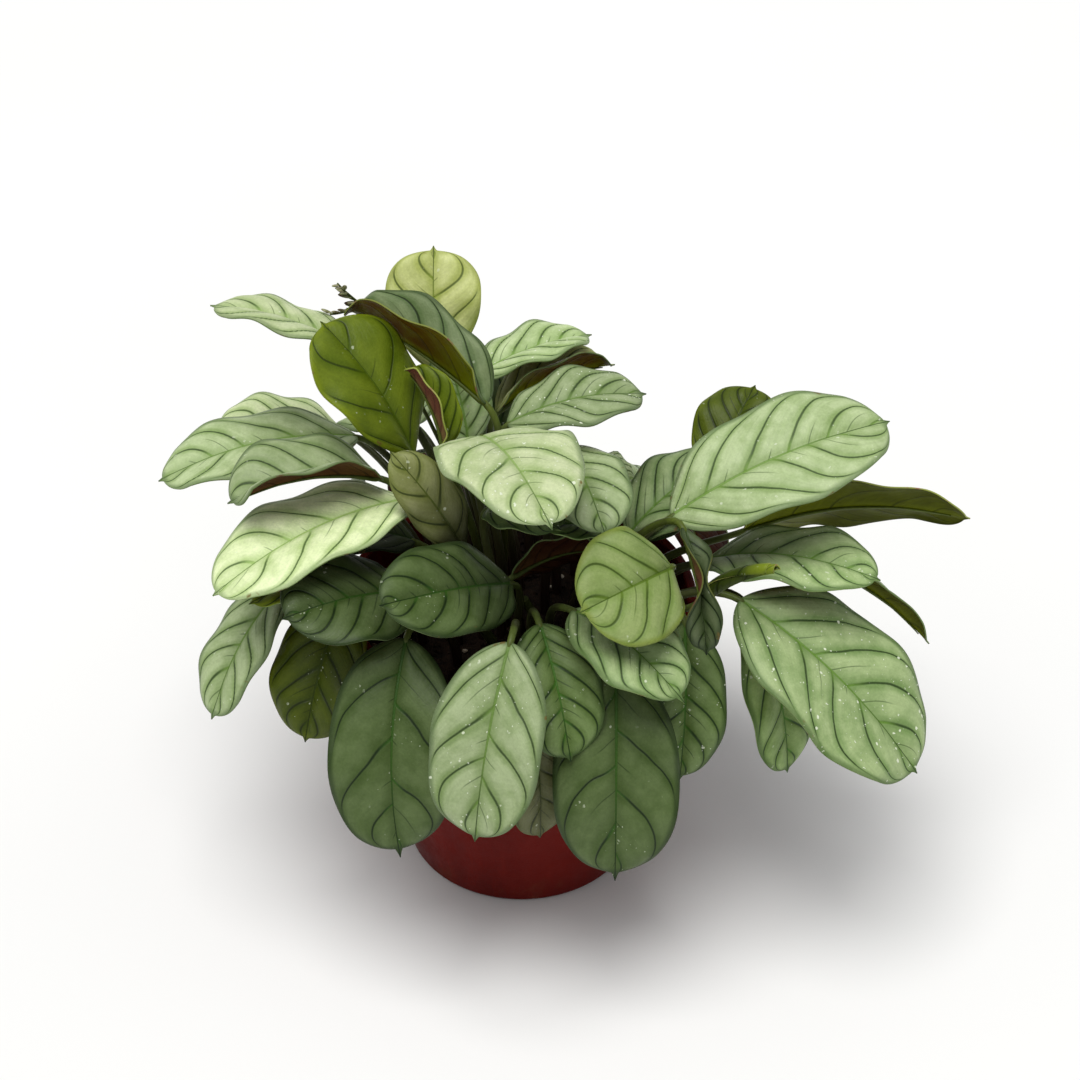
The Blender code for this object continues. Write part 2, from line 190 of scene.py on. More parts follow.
# A leaf that is still rolled up.
SPEAR_COLUMNS = 56
SPEAR_ROWS = 40
SPEAR_TURNS = 1.7
SPEAR_TWIST = 0.35
SPEAR_SLANT = 3.0

# The spent flower spike, and the stumps of cut leaves as (foot, end).
SPIKE_GIRTH = 0.5
SPIKE_BRANCH = (-8.0, -4.0, 0.5)
SPIKE_RADII = (0.42, 0.25)
SPIKE_BOW = 0.6
SCALE_COUNTS = (9, 4)
SCALE_SHAPE = (0.62, 0.3, 1.5)
STUMP_RADII = (1.5, 1.15)
STUMP_BOW = 1.5
CUT_STALKS = (((6, -4, 69), (1, -6, 82)), ((-6, -10, 69), (-10.5, -13, 80)), ((14, 2, 69), (17, -1, 80)))


@dataclass
class Leaf:
    """One leaf: its place and form, as in the part, then the finish of its face and back and its side veins.

    Its tone makes it lighter or darker: partly its own colour, partly painted light and shade for where it
    stands.
    Its fade paints shade towards the stalk, and light there where it is below zero. Crumple makes it limp.
    """

    name: str
    base: tuple
    tip: tuple
    width: float
    roll: float = 0
    arch: float = 0.09
    fold: float = 14
    twist: float = 0
    sway: float = 0
    pinch: float = 0
    widest: float = 1.1
    shoulder: float = 2.3
    point: float = 1.3
    age: str = "mature"
    form: str = "open"
    face: str = "silver"
    back: str = "maroon"
    veins: float = 4.6
    bend: float = 0.075
    tone: float = 1.0
    fade: float = 0
    specks: float = 0.4
    crumple: float = 1.0


# Each leaf's face and tone are partly its own colour and partly painted light and shade: a leaf in shade is
# made darker and a lit one lighter. A fade paints shade towards the stalk, and light there where it is below
# zero.
LEAVES = (
    Leaf("front_left", (-27, -32, 90), (-29, -59, 47), 31, sway=0.04, shoulder=2.6, point=2.4, face="deep",
         veins=3.1, specks=0.3, tone=0.62),
    Leaf("front_middle", (-2, -46, 100), (-10, -70, 62), 28, point=1.6, veins=3.9, specks=0.6, tone=0.75),
    Leaf("front_slim", (5, -34, 96), (12, -56, 74), 22, face="deep", tone=1.02),
    Leaf("front_right", (23, -40, 88), (23, -64, 44), 31, point=2.4, face="deep", veins=3.2, specks=0.35,
         tone=0.65),
    Leaf("front_low", (1, -46, 87), (5, -54, 47), 18, face="faded", tone=0.27),
    Leaf("left_dark", (-27, -18, 93), (-54, -39, 102), 29, roll=-20, face="deep", tone=0.56, bend=0.045),
    Leaf("left_inner", (-2, -14, 93), (-31, -42, 108), 25, roll=-36, arch=0.06, face="deep", veins=5.2,
         tone=0.7, bend=0.045),
    Leaf("left_hanging", (-43, -18, 90), (-52, -39, 65), 25, face="olive", tone=0.47, fade=-0.2),
    Leaf("left_outer", (-58, -10, 90), (-75, -34, 68), 22, roll=15, tone=0.86),
    Leaf("left_under", (-34, -7, 92), (-64, -24, 95), 15, face="olive", tone=1.42),
    Leaf("left_shaded", (-27, 8, 90), (-56, 4, 95), 22, face="deep", tone=0.33),
    Leaf("left_bright", (-27, -2, 110), (-71, -32, 104), 30, face="mint", veins=4.4, tone=1.33, fade=-0.12),
    Leaf("left_folded", (-34, 0, 115), (-68, -16, 119), 29, roll=10, fold=40, tone=0.77, bend=0.05),
    Leaf("left_far", (-42, 26, 110), (-89, 8, 109), 28, veins=4.8, tone=1.02),
    Leaf("left_back", (-48, 43, 101), (-79, 37, 105.5), 24, face="mint", tone=1.12),
    Leaf("top_left", (-39, 22, 136), (-75, 28, 147), 24, roll=14, arch=0.08, face="mint", tone=1.03),
    Leaf("top_young", (-26, 4, 119), (-47, 15, 149), 29, roll=-10, widest=1.5, age="young", face="olive",
         back="olive", veins=2.9, tone=0.98),
    Leaf("top_arched", (-8, 7, 132), (-42, 31, 144), 29, roll=12, arch=0.04, fold=64, twist=-24, age="young",
         face="green", back="bronze", tone=0.66),
    Leaf("top_rolled", (-18, 0, 124), (-27, 11, 139), 17, roll=15, fold=66, age="young", face="olive",
         back="rose", tone=1.05),
    Leaf("top", (-22, 36, 123), (-22, 49, 151), 25, widest=1.6, age="young", face="faded", back="olive",
         veins=3.0, tone=1.18),
    Leaf("top_right", (-11, 31, 125), (17, 41, 131), 24, roll=-8, arch=0.07, fold=18, shoulder=2, specks=0.9,
         tone=1.14),
    Leaf("right_high", (-3, 10, 124), (30, 16, 129), 27, shoulder=1.9, specks=0.8, tone=0.78),
    Leaf("right_behind", (-6, 27, 117), (23, 38, 124), 22, roll=-22, fold=42, face="faded", back="bronze",
         tone=0.78),
    Leaf("top_inner", (-13, 17, 113), (-19, 27, 135), 17, tone=1.7),
    Leaf("middle_shaded", (-4, 36, 98), (-12, 40, 120), 19, roll=-15, face="deep", tone=0.75),
    Leaf("centre", (-9, -3, 129), (7, -46, 134), 34, widest=0.8, shoulder=1.9, point=2, face="mint",
         veins=4.2, specks=1.0, tone=1.02, bend=0.04),
    Leaf("centre_curled", (-14, -10, 101), (-30, -7, 126), 15, roll=-40, face="faded", tone=0.6, veins=3.4,
         fade=0.85, crumple=3.4),
    Leaf("centre_dark", (-7, -10, 113), (9, -24, 117), 19, face="deep", tone=1),
    Leaf("centre_right", (11, 6, 120), (20, -24, 116), 22, tone=0.87, bend=0.045),
    Leaf("centre_pale", (17, 20, 103), (29, 19, 101), 18, face="mint"),
    Leaf("right_shaded", (30, 14, 86), (47, 31, 93), 20, face="deep"),
    Leaf("centre_grey", (27, -2, 99), (50, 10, 113), 26, face="green", tone=0.95),
    Leaf("centre_low", (22, -12, 107), (6, -18, 113), 15, face="deep", tone=1.7),
    Leaf("centre_brown", (-2, -7, 90), (19, -1, 94), 17, roll=-65, face="deep"),
    Leaf("right_bright", (37, -8, 109), (89, 6, 127), 33, roll=16, veins=5.2, specks=0.5, tone=1.02),
    Leaf("right_back", (50, 18, 103), (60, 36, 118), 22, face="olive", tone=0.68),
    Leaf("right_olive", (57, 10, 92), (114, 14, 93), 27, roll=-60, widest=0.65, shoulder=1.9, age="young",
         face="olive", back="olive"),
    Leaf("right_dark", (47, 0, 90), (86, -20, 99), 27, face="green", specks=0.6, tone=1.55, fade=0.25),
    Leaf("right_large", (54, -18, 91), (96, -44, 59), 39, roll=10, face="green", veins=5.0, specks=0.9,
         tone=1.19),
    Leaf("right_low", (57, -12, 84), (68, -26, 43), 22, face="deep", tone=1.75),
    Leaf("right_thin", (71, 8, 84), (105, 0, 64), 12, roll=-33, fold=36, back="olive"),
    Leaf("right_spear", (44, -21, 93), (60, -28, 108), 3.4, form="rolled", age="young", face="shoot"),
    Leaf("right_rolled", (39, -23, 116), (44, -41, 94), 13, roll=-2, fold=35, twist=65, pinch=50,
         age="young", face="green", back="rose", tone=0.35, crumple=2.4),
    Leaf("right_young", (36, -29, 109), (15, -48, 111), 29, roll=-42, age="young", face="lime", back="olive",
         veins=3.4, tone=0.75, bend=0.05, fade=0.1),
    Leaf("right_pointing", (13, -31, 98), (37, -53, 90), 26, shoulder=1.9, point=2.2, face="green",
         veins=4.8, specks=0.6, tone=1.31, crumple=3.4),
    Leaf("right_hanging", (40, -26, 90), (39, -45, 58), 21, roll=-12, face="deep", specks=0.6, tone=1.04),
    Leaf("back_left", (-28, 42, 103), (-46, 68, 86), 28),
    Leaf("back_middle", (3, 44, 108), (-4, 78, 90), 29, face="mint"),
    Leaf("back_right", (24, 32, 90), (42, 56, 75), 28, arch=0.05, face="green"),
    Leaf("back_far_right", (50, 28, 92), (80, 46, 82), 25),
    Leaf("back_low_left", (-44, 28, 92), (-62, 44, 62), 26, face="green"),
    Leaf("back_low_middle", (-20, 46, 94), (-26, 64, 56), 27, face="deep"),
    Leaf("back_low", (6, 47, 92), (8, 66, 52), 28, face="green"),
    Leaf("back_low_right", (40, 30, 86), (50, 44, 56), 22, face="deep"),
    Leaf("flower_spike", (-38, 38, 139), (-45, 32, 151), 3.6, form="rolled", age="young", face="lime"),
)


def paint(red, green, blue):
    """A colour named by its 8-bit screen values, as the linear colour that a shader takes."""
    return (*(((value / 255 + 0.055) / 1.055) ** 2.4 for value in (red, green, blue)), 1)


# The faces, in 8-bit screen values: between the veins, beside them, the veins, the midrib and the margin.
# The faces run from light to dark, mint, silver, green and deep: a leaf's face is partly its own colour and
# partly painted light and shade, the lighter faces going to lit leaves and the darker to leaves in shade.
FACES = {
    "mint": ((203, 214, 168), (160, 181, 120), (64, 88, 38), (140, 170, 92), (118, 138, 92)),
    "silver": ((181, 198, 149), (137, 161, 100), (52, 74, 32), (112, 146, 64), (96, 118, 74)),
    "green": ((150, 168, 118), (108, 133, 78), (36, 56, 20), (90, 124, 46), (68, 92, 44)),
    "deep": ((111, 132, 79), (81, 104, 48), (24, 46, 14), (60, 103, 28), (42, 64, 24)),
    "faded": ((192, 198, 134), (156, 166, 88), (76, 90, 36), (120, 138, 50), (142, 152, 74)),
    # The olive face is a young leaf's yellow-green, and partly painted light: the dark yellow-green glow of a
    # leaf lit from behind, with light shining through it.
    "olive": ((104, 120, 26), (80, 98, 12), (44, 58, 6), (70, 90, 8), (118, 134, 16)),
    "lime": ((174, 194, 122), (140, 168, 84), (70, 94, 26), (108, 140, 38), (138, 156, 54)),
    "shoot": ((62, 76, 18), (48, 62, 10), (34, 46, 4), (52, 66, 8), (140, 158, 34)),
}

# The undersides: the blade, its end towards the stalk, and the veins.
BACKS = {
    "maroon": ((70, 36, 24), (96, 68, 34), (42, 22, 16)),
    # The bronze back is made lighter partly as painted light, for the lit undersides that carry it.
    "bronze": ((90, 57, 6), (126, 138, 0), (58, 40, 4)),
    # The olive back is a young underside's colour, and partly painted light shining through it from behind.
    "olive": ((72, 78, 0), (104, 114, 4), (46, 54, 0)),
    "rose": ((118, 66, 58), (128, 104, 66), (82, 44, 44)),
}

# The blades' rims, pale and dry, and the stalks at the foot, halfway up and at the knee.
RIMS = {"mature": ((112, 132, 80), (104, 78, 48)), "young": ((150, 160, 76), (150, 92, 88))}
# The stalks' dark feet are partly painted shade, low down among the leaves.
STALKS = {
    "mature": ((50, 34, 28), (64, 70, 34), (86, 100, 44)),
    "young": ((62, 54, 30), (72, 84, 30), (88, 102, 36)),
}
SCORCH = paint(112, 92, 44)
DRIED_WATER = paint(228, 236, 210)


class Finish:
    """A material's node tree, with a short call for each kind of node that the finishes here use."""

    def __init__(self, name, roughness, gloss=0.2):
        self.material = bpy.data.materials.new(name)
        self.material.use_nodes = True
        self.tree = self.material.node_tree
        self.shader = self.tree.nodes["Principled BSDF"]
        self.shader.inputs["Roughness"].default_value = roughness
        self.shader.inputs["Specular IOR Level"].default_value = gloss
        self.tint = None

    def feed(self, socket, value):
        """Links a socket into an input, or sets the input to a plain value."""
        if isinstance(value, bpy.types.NodeSocket):
            self.tree.links.new(value, socket)
        else:
            socket.default_value = value

    def node(self, kind, sockets, **settings):
        """A new node with its settings, its inputs fed by name or number."""
        made = self.tree.nodes.new(kind)
        for setting, value in settings.items():
            setattr(made, setting, value)
        for socket, value in sockets.items():
            self.feed(made.inputs[socket], value)
        return made

    def math(self, operation, *values):
        """A plain operation on numbers."""
        return self.node("ShaderNodeMath", dict(enumerate(values)), operation=operation).outputs[0]

    def plus(self, *values):
        """Two numbers added."""
        return self.math("ADD", *values)

    def times(self, *values):
        """Two numbers multiplied."""
        return self.math("MULTIPLY", *values)

    def ramp(self, value, low, high, start=0.0, end=1.0):
        """A number that goes smoothly from start, at low, to end, at high."""
        sockets = {"Value": value, "From Min": low, "From Max": high, "To Min": start, "To Max": end}
        return self.node("ShaderNodeMapRange", sockets, interpolation_type="SMOOTHSTEP").outputs[0]

    def mix(self, share, one, other, blend="MIX"):
        """Two colours mixed by a share."""
        sockets = {0: share, 6: one, 7: other}
        return self.node("ShaderNodeMix", sockets, data_type="RGBA", blend_type=blend).outputs[2]

    def attribute(self, name):
        """A number that the mesh holds at each point."""
        return self.node("ShaderNodeAttribute", {}, attribute_name=name).outputs["Fac"]

    def uv(self, name):
        """One of the piece's own maps."""
        return self.node("ShaderNodeUVMap", {}, uv_map=name).outputs[0]

    def stretched(self, place, stretch):
        """Coordinates stretched along their axes."""
        return self.node("ShaderNodeMapping", {"Vector": place, "Scale": stretch}).outputs[0]

    def parts(self, vector):
        """The parts of a vector."""
        return self.node("ShaderNodeSeparateXYZ", {0: vector}).outputs

    def object_place(self, stretch=(1, 1, 1)):
        """Object coordinates, stretched."""
        return self.stretched(self.node("ShaderNodeTexCoord", {}).outputs["Object"], stretch)

    def noise(self, place, scale, detail=2.0, roughness=0.5):
        """Soft noise from 0 to 1."""
        sockets = {"Vector": place, "Scale": scale, "Detail": detail, "Roughness": roughness}
        return self.node("ShaderNodeTexNoise", sockets).outputs[0]

    def cells(self, place, scale):
        """The distance to the nearest of scattered points, and that point's own random number."""
        made = self.node("ShaderNodeTexVoronoi", {"Vector": place, "Scale": scale})
        return made.outputs["Distance"], self.parts(made.outputs["Color"])[0]

    def cover(self, share, colour):
        """Lays a colour over the tint so far, by a share."""
        self.tint = self.mix(share, self.tint, colour)

    def shade(self, tone):
        """Makes the tint so far lighter or darker by a factor."""
        grey = self.node("ShaderNodeCombineXYZ", {0: tone, 1: tone, 2: tone}).outputs[0]
        self.tint = self.mix(1.0, self.tint, grey, "MULTIPLY")

    def done(self, height=None, depth=0, strength=1.0):
        """The material with its tint and, if a height is given, relief with a depth in metres."""
        self.feed(self.shader.inputs["Base Color"], self.tint)
        if height is not None:
            sockets = {"Height": height, "Distance": depth, "Strength": strength}
            self.feed(self.shader.inputs["Normal"], self.node("ShaderNodeBump", sockets).outputs[0])
        return self.material


def vein_lines(coat):
    """The vein map as masks: main side veins, their soft shade, the short veins between, and the midrib."""
    flat = coat.uv("flat")
    across = coat.parts(flat)[0]
    order, outward, _ = coat.parts(coat.uv("vein"))
    pitch = coat.attribute("vein_pitch")
    share = coat.attribute("share")
    wander = coat.math("SUBTRACT", coat.noise(flat, 0.11, 1.0), 0.5)
    order = coat.plus(order, coat.times(wander, VEIN_WANDER))
    gap = coat.math("PINGPONG", order, 0.5)
    distance = coat.times(gap, pitch)
    inside = coat.ramp(outward, *VEIN_END, 1, 0)
    thin = coat.ramp(outward, 0.1, 0.95, VEIN_INNER_REACH, VEIN_OUTER_REACH)
    main = coat.times(coat.ramp(distance, VEIN_CORE, thin, 1, 0), inside)
    shade = coat.times(coat.ramp(distance, *VEIN_SHADE, 1, 0), inside)
    between = coat.times(coat.math("SUBTRACT", 0.5, gap), pitch)
    chance = coat.node(
        "ShaderNodeTexWhiteNoise", {"W": coat.math("FLOOR", order)}, noise_dimensions="1D"
    ).outputs["Value"]
    reach = coat.ramp(chance, 0.0, 1.0, *SHORT_VEIN_ENDS)
    short = coat.ramp(outward, coat.times(reach, 0.5), reach, 1, 0)
    short = coat.times(coat.ramp(between, *SHORT_VEIN_REACH, 1, 0), short)
    off_rib = coat.math("ABSOLUTE", across)
    rib_width = coat.ramp(share, 0.0, 1.0, RIB_BASE_REACH, RIB_TIP_REACH)
    rib = coat.ramp(off_rib, coat.times(rib_width, 0.5), rib_width, 1, 0)
    streak = coat.noise(coat.stretched(coat.uv("vein"), (9.0, 1.2, 1.0)), 1.0, 3.0, 0.65)
    return SimpleNamespace(
        gap=gap, off_rib=off_rib, main=main, shade=shade, short=short, rib=rib,
        share=share, streak=streak, flat=flat, outward=outward,
    )


def water_specks(coat, flat, off_rib):
    """Dried drops: scattered dots of two sizes, ragged, and thicker in some places than in others."""
    sockets = {"Vector": flat, "Scale": SPECK_RAGGEDNESS, "Detail": 2.0}
    ragged = coat.node("ShaderNodeTexNoise", sockets).outputs["Color"]
    moved = coat.node("ShaderNodeVectorMath", {0: flat, 1: ragged}, operation="ADD").outputs[0]
    patch = coat.noise(flat, SPECK_PATCHES, 2.0)
    amount = coat.attribute("specks")
    low = coat.ramp(amount, 0.0, 1.0, 0.66, 0.36)
    patch = coat.plus(patch, coat.ramp(off_rib, 0.5, 5.0, 0.08, 0))
    patch = coat.ramp(patch, low, coat.plus(low, 0.1))
    speck = None
    for scale, least, size in SPECKS:
        dot, luck = coat.cells(moved, scale)
        radius = coat.ramp(luck, least, 1.0, 0.0, size)
        spot = coat.ramp(dot, coat.times(radius, 0.7), radius, 1, 0)
        speck = spot if speck is None else coat.math("MAXIMUM", speck, spot)
    return coat.times(speck, coat.times(patch, coat.ramp(amount, 0, 1, 0.2, 0.95)))


def leaf_face(name, silver, flush, dark, green, edge):
    """The upper face: silvery between the veins, greener beside them, with a dark margin and dried specks."""
    coat = Finish(f"leaf face {name}", 0.42)
    lines = vein_lines(coat)
    flat = lines.flat
    cloud = coat.noise(flat, 0.16, 3.0, 0.6)
    grain = coat.noise(flat, 1.6, 3.0, 0.6)
    silvering = coat.times(coat.ramp(lines.gap, 0.02, 0.3, 0.25, 1), 0.8)
    silvering = coat.plus(silvering, coat.ramp(cloud, 0.3, 0.7, -0.35, 0.35))
    coat.tint = coat.mix(silvering, flush, silver)
    coat.cover(coat.ramp(lines.off_rib, 0.3, 3.0, 0.55, 0), flush)
    margin = coat.plus(coat.attribute("margin_mm"), coat.times(cloud, -0.9))
    coat.cover(coat.ramp(margin, 0.1, 1.5, 0.7, 0), edge)
    coat.cover(coat.times(lines.shade, 0.45), flush)
    coat.cover(coat.times(lines.short, 0.6), dark)
    vein = coat.mix(coat.ramp(lines.outward, 0.02, 0.25), green, dark)
    coat.cover(coat.times(lines.main, 0.92), vein)
    rib = coat.mix(coat.ramp(lines.share, 0.5, 1.0), green, dark)
    coat.cover(coat.times(lines.rib, 0.85), rib)
    tone = coat.plus(
        coat.ramp(grain, 0.3, 0.7, -0.06, 0.06), coat.ramp(lines.streak, 0.3, 0.7, -0.05, 0.05)
    )
    # The leaf's tone, partly painted light and shade, lightens or darkens the whole face.
    tone = coat.times(coat.plus(tone, 1.0), coat.attribute("tone"))
    coat.shade(tone)
    scorch = coat.ramp(coat.noise(flat, 0.14, 3.0, 0.6), 0.64, 0.68)
    scorch = coat.times(scorch, coat.ramp(margin, 0.1, 1.1, 0.9, 0))
    coat.cover(scorch, SCORCH)
    speck = water_specks(coat, flat, lines.off_rib)
    coat.cover(speck, DRIED_WATER)
    dullness = coat.plus(coat.ramp(grain, 0.2, 0.8, 0.36, 0.5), coat.times(speck, 0.3))
    coat.feed(coat.shader.inputs["Roughness"], dullness)
    relief = coat.times(lines.main, -0.7)
    for height, weight in ((lines.rib, -0.5), (lines.streak, 0.7), (grain, 0.5), (speck, 0.4)):
        relief = coat.plus(relief, coat.times(height, weight))
    return coat.done(relief, 0.00022, 0.7)


def leaf_back(name, body, warm, vein):
    """The underside: its own pigment, warmer towards the stalk and the midrib, with raised veins."""
    coat = Finish(f"leaf back {name}", 0.5, 0.12)
    lines = vein_lines(coat)
    cloud = coat.noise(lines.flat, 0.2, 3.0, 0.6)
    coat.tint = coat.mix(coat.ramp(cloud, 0.35, 0.8, 0.0, 0.35), body, warm)
    coat.cover(coat.ramp(lines.share, 0.0, 0.55, 0.9, 0), warm)
    coat.cover(coat.ramp(lines.off_rib, 0.3, 2.0, 0.5, 0), warm)
    coat.cover(coat.times(lines.main, 0.6), vein)
    coat.cover(coat.ramp(coat.attribute("margin_mm"), 0.1, 1.2, 0.5, 0), vein)
    tone = coat.ramp(lines.streak, 0.3, 0.7, 0.92, 1.08)
    coat.shade(tone)
    relief = coat.plus(coat.times(lines.main, 0.8), lines.streak)
    return coat.done(relief, 0.0002, 0.7)


def leaf_rim(name, pale, brown):
    """The blade's cut edge: pale, and dry and brown in places."""
    coat = Finish(f"leaf rim {name}", 0.5)
    dry = coat.noise(coat.uv("flat"), 0.35, 2.0)
    coat.tint = coat.mix(coat.ramp(dry, 0.55, 0.75), pale, brown)
    # The leaf's tone, partly painted light and shade, lightens or darkens the rim as well.
    coat.shade(coat.attribute("tone"))
    return coat.done()


def stalk_finish(name, foot, middle, knee):
    """A stalk: purplish at its foot and darkened there partly as painted shade, green above, clearer at the
    knee below the blade.
    """
    coat = Finish(f"stalk {name}", 0.4)
    rise = coat.attribute("rise")
    streaks = coat.noise(coat.object_place((900, 900, 90)), 1.0, 3.0, 0.6)
    coat.tint = coat.mix(coat.ramp(rise, 0.05, 0.5), foot, middle)
    coat.cover(coat.ramp(rise, 0.78, 0.86), knee)
    dark = coat.mix(0.55, coat.tint, (0.02, 0.015, 0.01, 1))
    coat.cover(coat.ramp(streaks, 0.35, 0.75, 0, 0.6), dark)
    return coat.done(streaks, 0.00015, 0.5)


def pot_finish():
    """Thin moulded terracotta-red plastic, with fine flow lines and soil dust near its edges."""
    coat = Finish("terracotta plastic", 0.5, 0.1)
    flow = coat.noise(coat.object_place((1, 1, 0.12)), 260.0, 3.0, 0.6)
    cloud = coat.noise(coat.object_place(), 38.0, 4.0, 0.6)
    peel = coat.noise(coat.object_place(), 1500.0, 2.0)
    coat.tint = coat.mix(coat.ramp(cloud, 0.3, 0.7), paint(88, 10, 2), paint(102, 14, 4))
    coat.cover(coat.ramp(flow, 0.45, 0.75, 0, 0.3), paint(118, 22, 8))
    height = coat.parts(coat.object_place())[2]
    dust = coat.noise(coat.object_place(), 120.0, 5.0, 0.7)
    low = coat.ramp(height, 0.0, 0.016, 0.5, 0)
    top = coat.ramp(height, 0.066, 0.08, 0, 0.4)
    soiled = coat.times(coat.plus(low, top), coat.ramp(dust, 0.5, 0.75))
    coat.cover(soiled, paint(104, 60, 40))
    coat.feed(coat.shader.inputs["Roughness"], coat.ramp(dust, 0.3, 0.8, 0.38, 0.65))
    relief = coat.plus(coat.times(flow, 0.5), coat.times(peel, 0.25))
    return coat.done(relief, 0.0003, 0.5)


def soil_finish():
    """Dark, damp potting soil; its darkness is partly painted shade under the leaves."""
    coat = Finish("potting soil", 0.92)
    clods = coat.noise(coat.object_place(), 420.0, 6.0, 0.7)
    fibres = coat.noise(coat.object_place((1, 0.25, 1)), 1400.0, 4.0, 0.7)
    coat.tint = coat.mix(coat.ramp(clods, 0.3, 0.7), paint(20, 14, 10), paint(50, 36, 26))
    coat.cover(coat.ramp(fibres, 0.55, 0.8, 0, 0.6), paint(86, 64, 44))
    return coat.done(coat.plus(clods, coat.times(fibres, 0.5)), 0.0012, 0.9)


def grit_finish():
    """White volcanic grit in the soil, stained a little."""
    coat = Finish("white grit", 0.85)
    stain = coat.noise(coat.object_place(), 600.0, 3.0)
    coat.tint = coat.mix(coat.ramp(stain, 0.35, 0.65), paint(204, 196, 180), paint(128, 108, 84))
    return coat.done(stain, 0.0004, 0.6)


def dry_finish():
    """The papery brown and green scales of a spent flower spike."""
    coat = Finish("dry scales", 0.7)
    veins = coat.noise(coat.object_place((1, 1, 0.3)), 1600.0, 3.0)
    coat.tint = coat.mix(coat.ramp(veins, 0.35, 0.65), paint(128, 134, 92), paint(172, 168, 134))
    brown = coat.noise(coat.object_place(), 330.0, 2.0)
    coat.cover(coat.ramp(brown, 0.45, 0.65), paint(72, 50, 34))
    return coat.done(veins, 0.0002, 0.7)


def floor_finish():
    """A plain pale studio floor with the faintest unevenness."""
    coat = Finish("studio floor", 0.85)
    cloud = coat.noise(coat.object_place(), 3.0, 2.0)
    coat.tint = coat.mix(coat.ramp(cloud, 0.3, 0.7), *FLOOR_COLOURS)
    return coat.done()


def chord(leaf):
    """The straight line from a blade's base to its tip, and its direction."""
    line = Vector(leaf.tip) - Vector(leaf.base)
    return line, line.normalized()


def face_direction(leaf, t):
    """The way the blade's upper face looks at a share t of its length, before the midrib's own slope."""
    forward = chord(leaf)[1]
    level = (UP - forward * UP.dot(forward)).normalized()
    turn = math.radians(leaf.roll + leaf.twist * (t - 0.5))
    return Matrix.Rotation(turn, 3, forward) @ level


def midrib_point(leaf, t):
    """The midrib: an arch over the chord, along the blade's own face direction, with a sideways sway."""
    line, forward = chord(leaf)
    face = face_direction(leaf, 0.5)
    side = forward.cross(face)
    swell = 4 * t * (1 - t) * line.length
    return Vector(leaf.base) + line * t + face * (leaf.arch * swell) + side * (leaf.sway * swell)


def midrib_axes(leaf, t):
    """Along the midrib, to its right, and out of the upper face."""
    step = 0.01
    along = (midrib_point(leaf, t + step) - midrib_point(leaf, t - step)).normalized()
    face = face_direction(leaf, t)
    face = (face - along * face.dot(along)).normalized()
    return along, along.cross(face), face


def blunt_width(leaf, t):
    """Half of the blade's width: an oblong with full, blunt ends."""
    share = abs(2 * min(1.0, t) ** leaf.widest - 1) ** leaf.shoulder
    return leaf.width / 2 * math.sqrt(max(0.0, 1 - share))


def fold_angle(leaf, t, half):
    """How steeply each half of the blade rises from the midrib."""
    degrees = leaf.fold + leaf.pinch * math.exp(-(((t - PINCH_PLACE) / PINCH_REACH) ** 2))
    return math.radians(degrees) * min(1, FOLD_START * half / leaf.width)


def stalk_feet():
    """Where each stalk enters the soil, as in the part."""
    feet = []
    for leaf in LEAVES:
        out = Vector(leaf.base[:2])
        lowness = 1 + (CROWN_HEIGHT - leaf.base[2]) / CROWN_DEPTH
        reach = STALK_INNER + STALK_SPREAD * lowness * out.length
        feet.append(out.normalized() * min(reach, STALK_OUTER))
    for _ in range(SPREADING_ROUNDS):
        for i, one in enumerate(feet):
            for other in feet[:i]:
                apart = one - other
                if apart.length < STALK_SPACING:
                    push = apart.normalized() * (STALK_SPACING - apart.length) / 2
                    one += push
                    other -= push
        for one in feet:
            if one.length > STALK_OUTER:
                one *= STALK_OUTER / one.length
    return feet


def select_only(*pieces):
    """Selects these objects and nothing else, the first one active."""
    bpy.ops.object.select_all(action="DESELECT")
    for piece in pieces:
        piece.select_set(True)
    bpy.context.view_layer.objects.active = pieces[0]


def add(operator, place=(0, 0, 0), **settings):
    """A new object from one of Blender's own, with nothing else selected."""
    bpy.ops.object.select_all(action="DESELECT")
    operator(location=place, **settings)
    return bpy.context.active_object


def copy_shaped(piece, shape):
    """A copy of a piece with its own mesh, put in shape and in place."""
    copied = piece.copy()
    copied.data = piece.data.copy()
    bpy.context.collection.objects.link(copied)
    copied.data.transform(shape)
    return copied


def leave_edit_mode():
    """Turns all faces outwards and ends edit mode."""
    bpy.ops.mesh.select_all(action="SELECT")
    bpy.ops.mesh.normals_make_consistent(inside=False)
    bpy.ops.object.mode_set(mode="OBJECT")


def smooth_below(piece, degrees):
    """Shades a piece smooth wherever its faces meet at less than an angle."""
    select_only(piece)
    bpy.ops.object.shade_smooth_by_angle(angle=math.radians(degrees))


def read_places(mesh):
    """The places of the mesh's points, as rows of an array."""
    places = np.empty(len(mesh.vertices) * 3)
    mesh.vertices.foreach_get("co", places)
    return places.reshape(-1, 3)


def read_corners(mesh):
    """The point at each face corner, by its number."""
    corners = np.empty(len(mesh.loops), int)
    mesh.loops.foreach_get("vertex_index", corners)
    return corners


def apply_modifier(piece, kind, **settings):
    """Adds a modifier with its settings and applies it."""
    select_only(piece)
    made = piece.modifiers.new(kind.lower(), kind)
    for setting, value in settings.items():
        setattr(made, setting, value)
    bpy.ops.object.modifier_apply(modifier=made.name)


def join(*pieces):
    """Joins objects into the first one."""
    select_only(*pieces)
    bpy.ops.object.join()
    return pieces[0]


def settle(piece, name, slot, *replaced):
    """Names a finished piece, and says what it rides on and what it stands for. Its slot is not used."""
    piece.name = name
    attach(piece, "root")
    for node in replaced:
        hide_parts(node)
    return piece


def dress(piece, *materials):
    """Gives a piece its materials, in order."""
    piece.data.materials.clear()
    for material in materials:
        piece.data.materials.append(material)


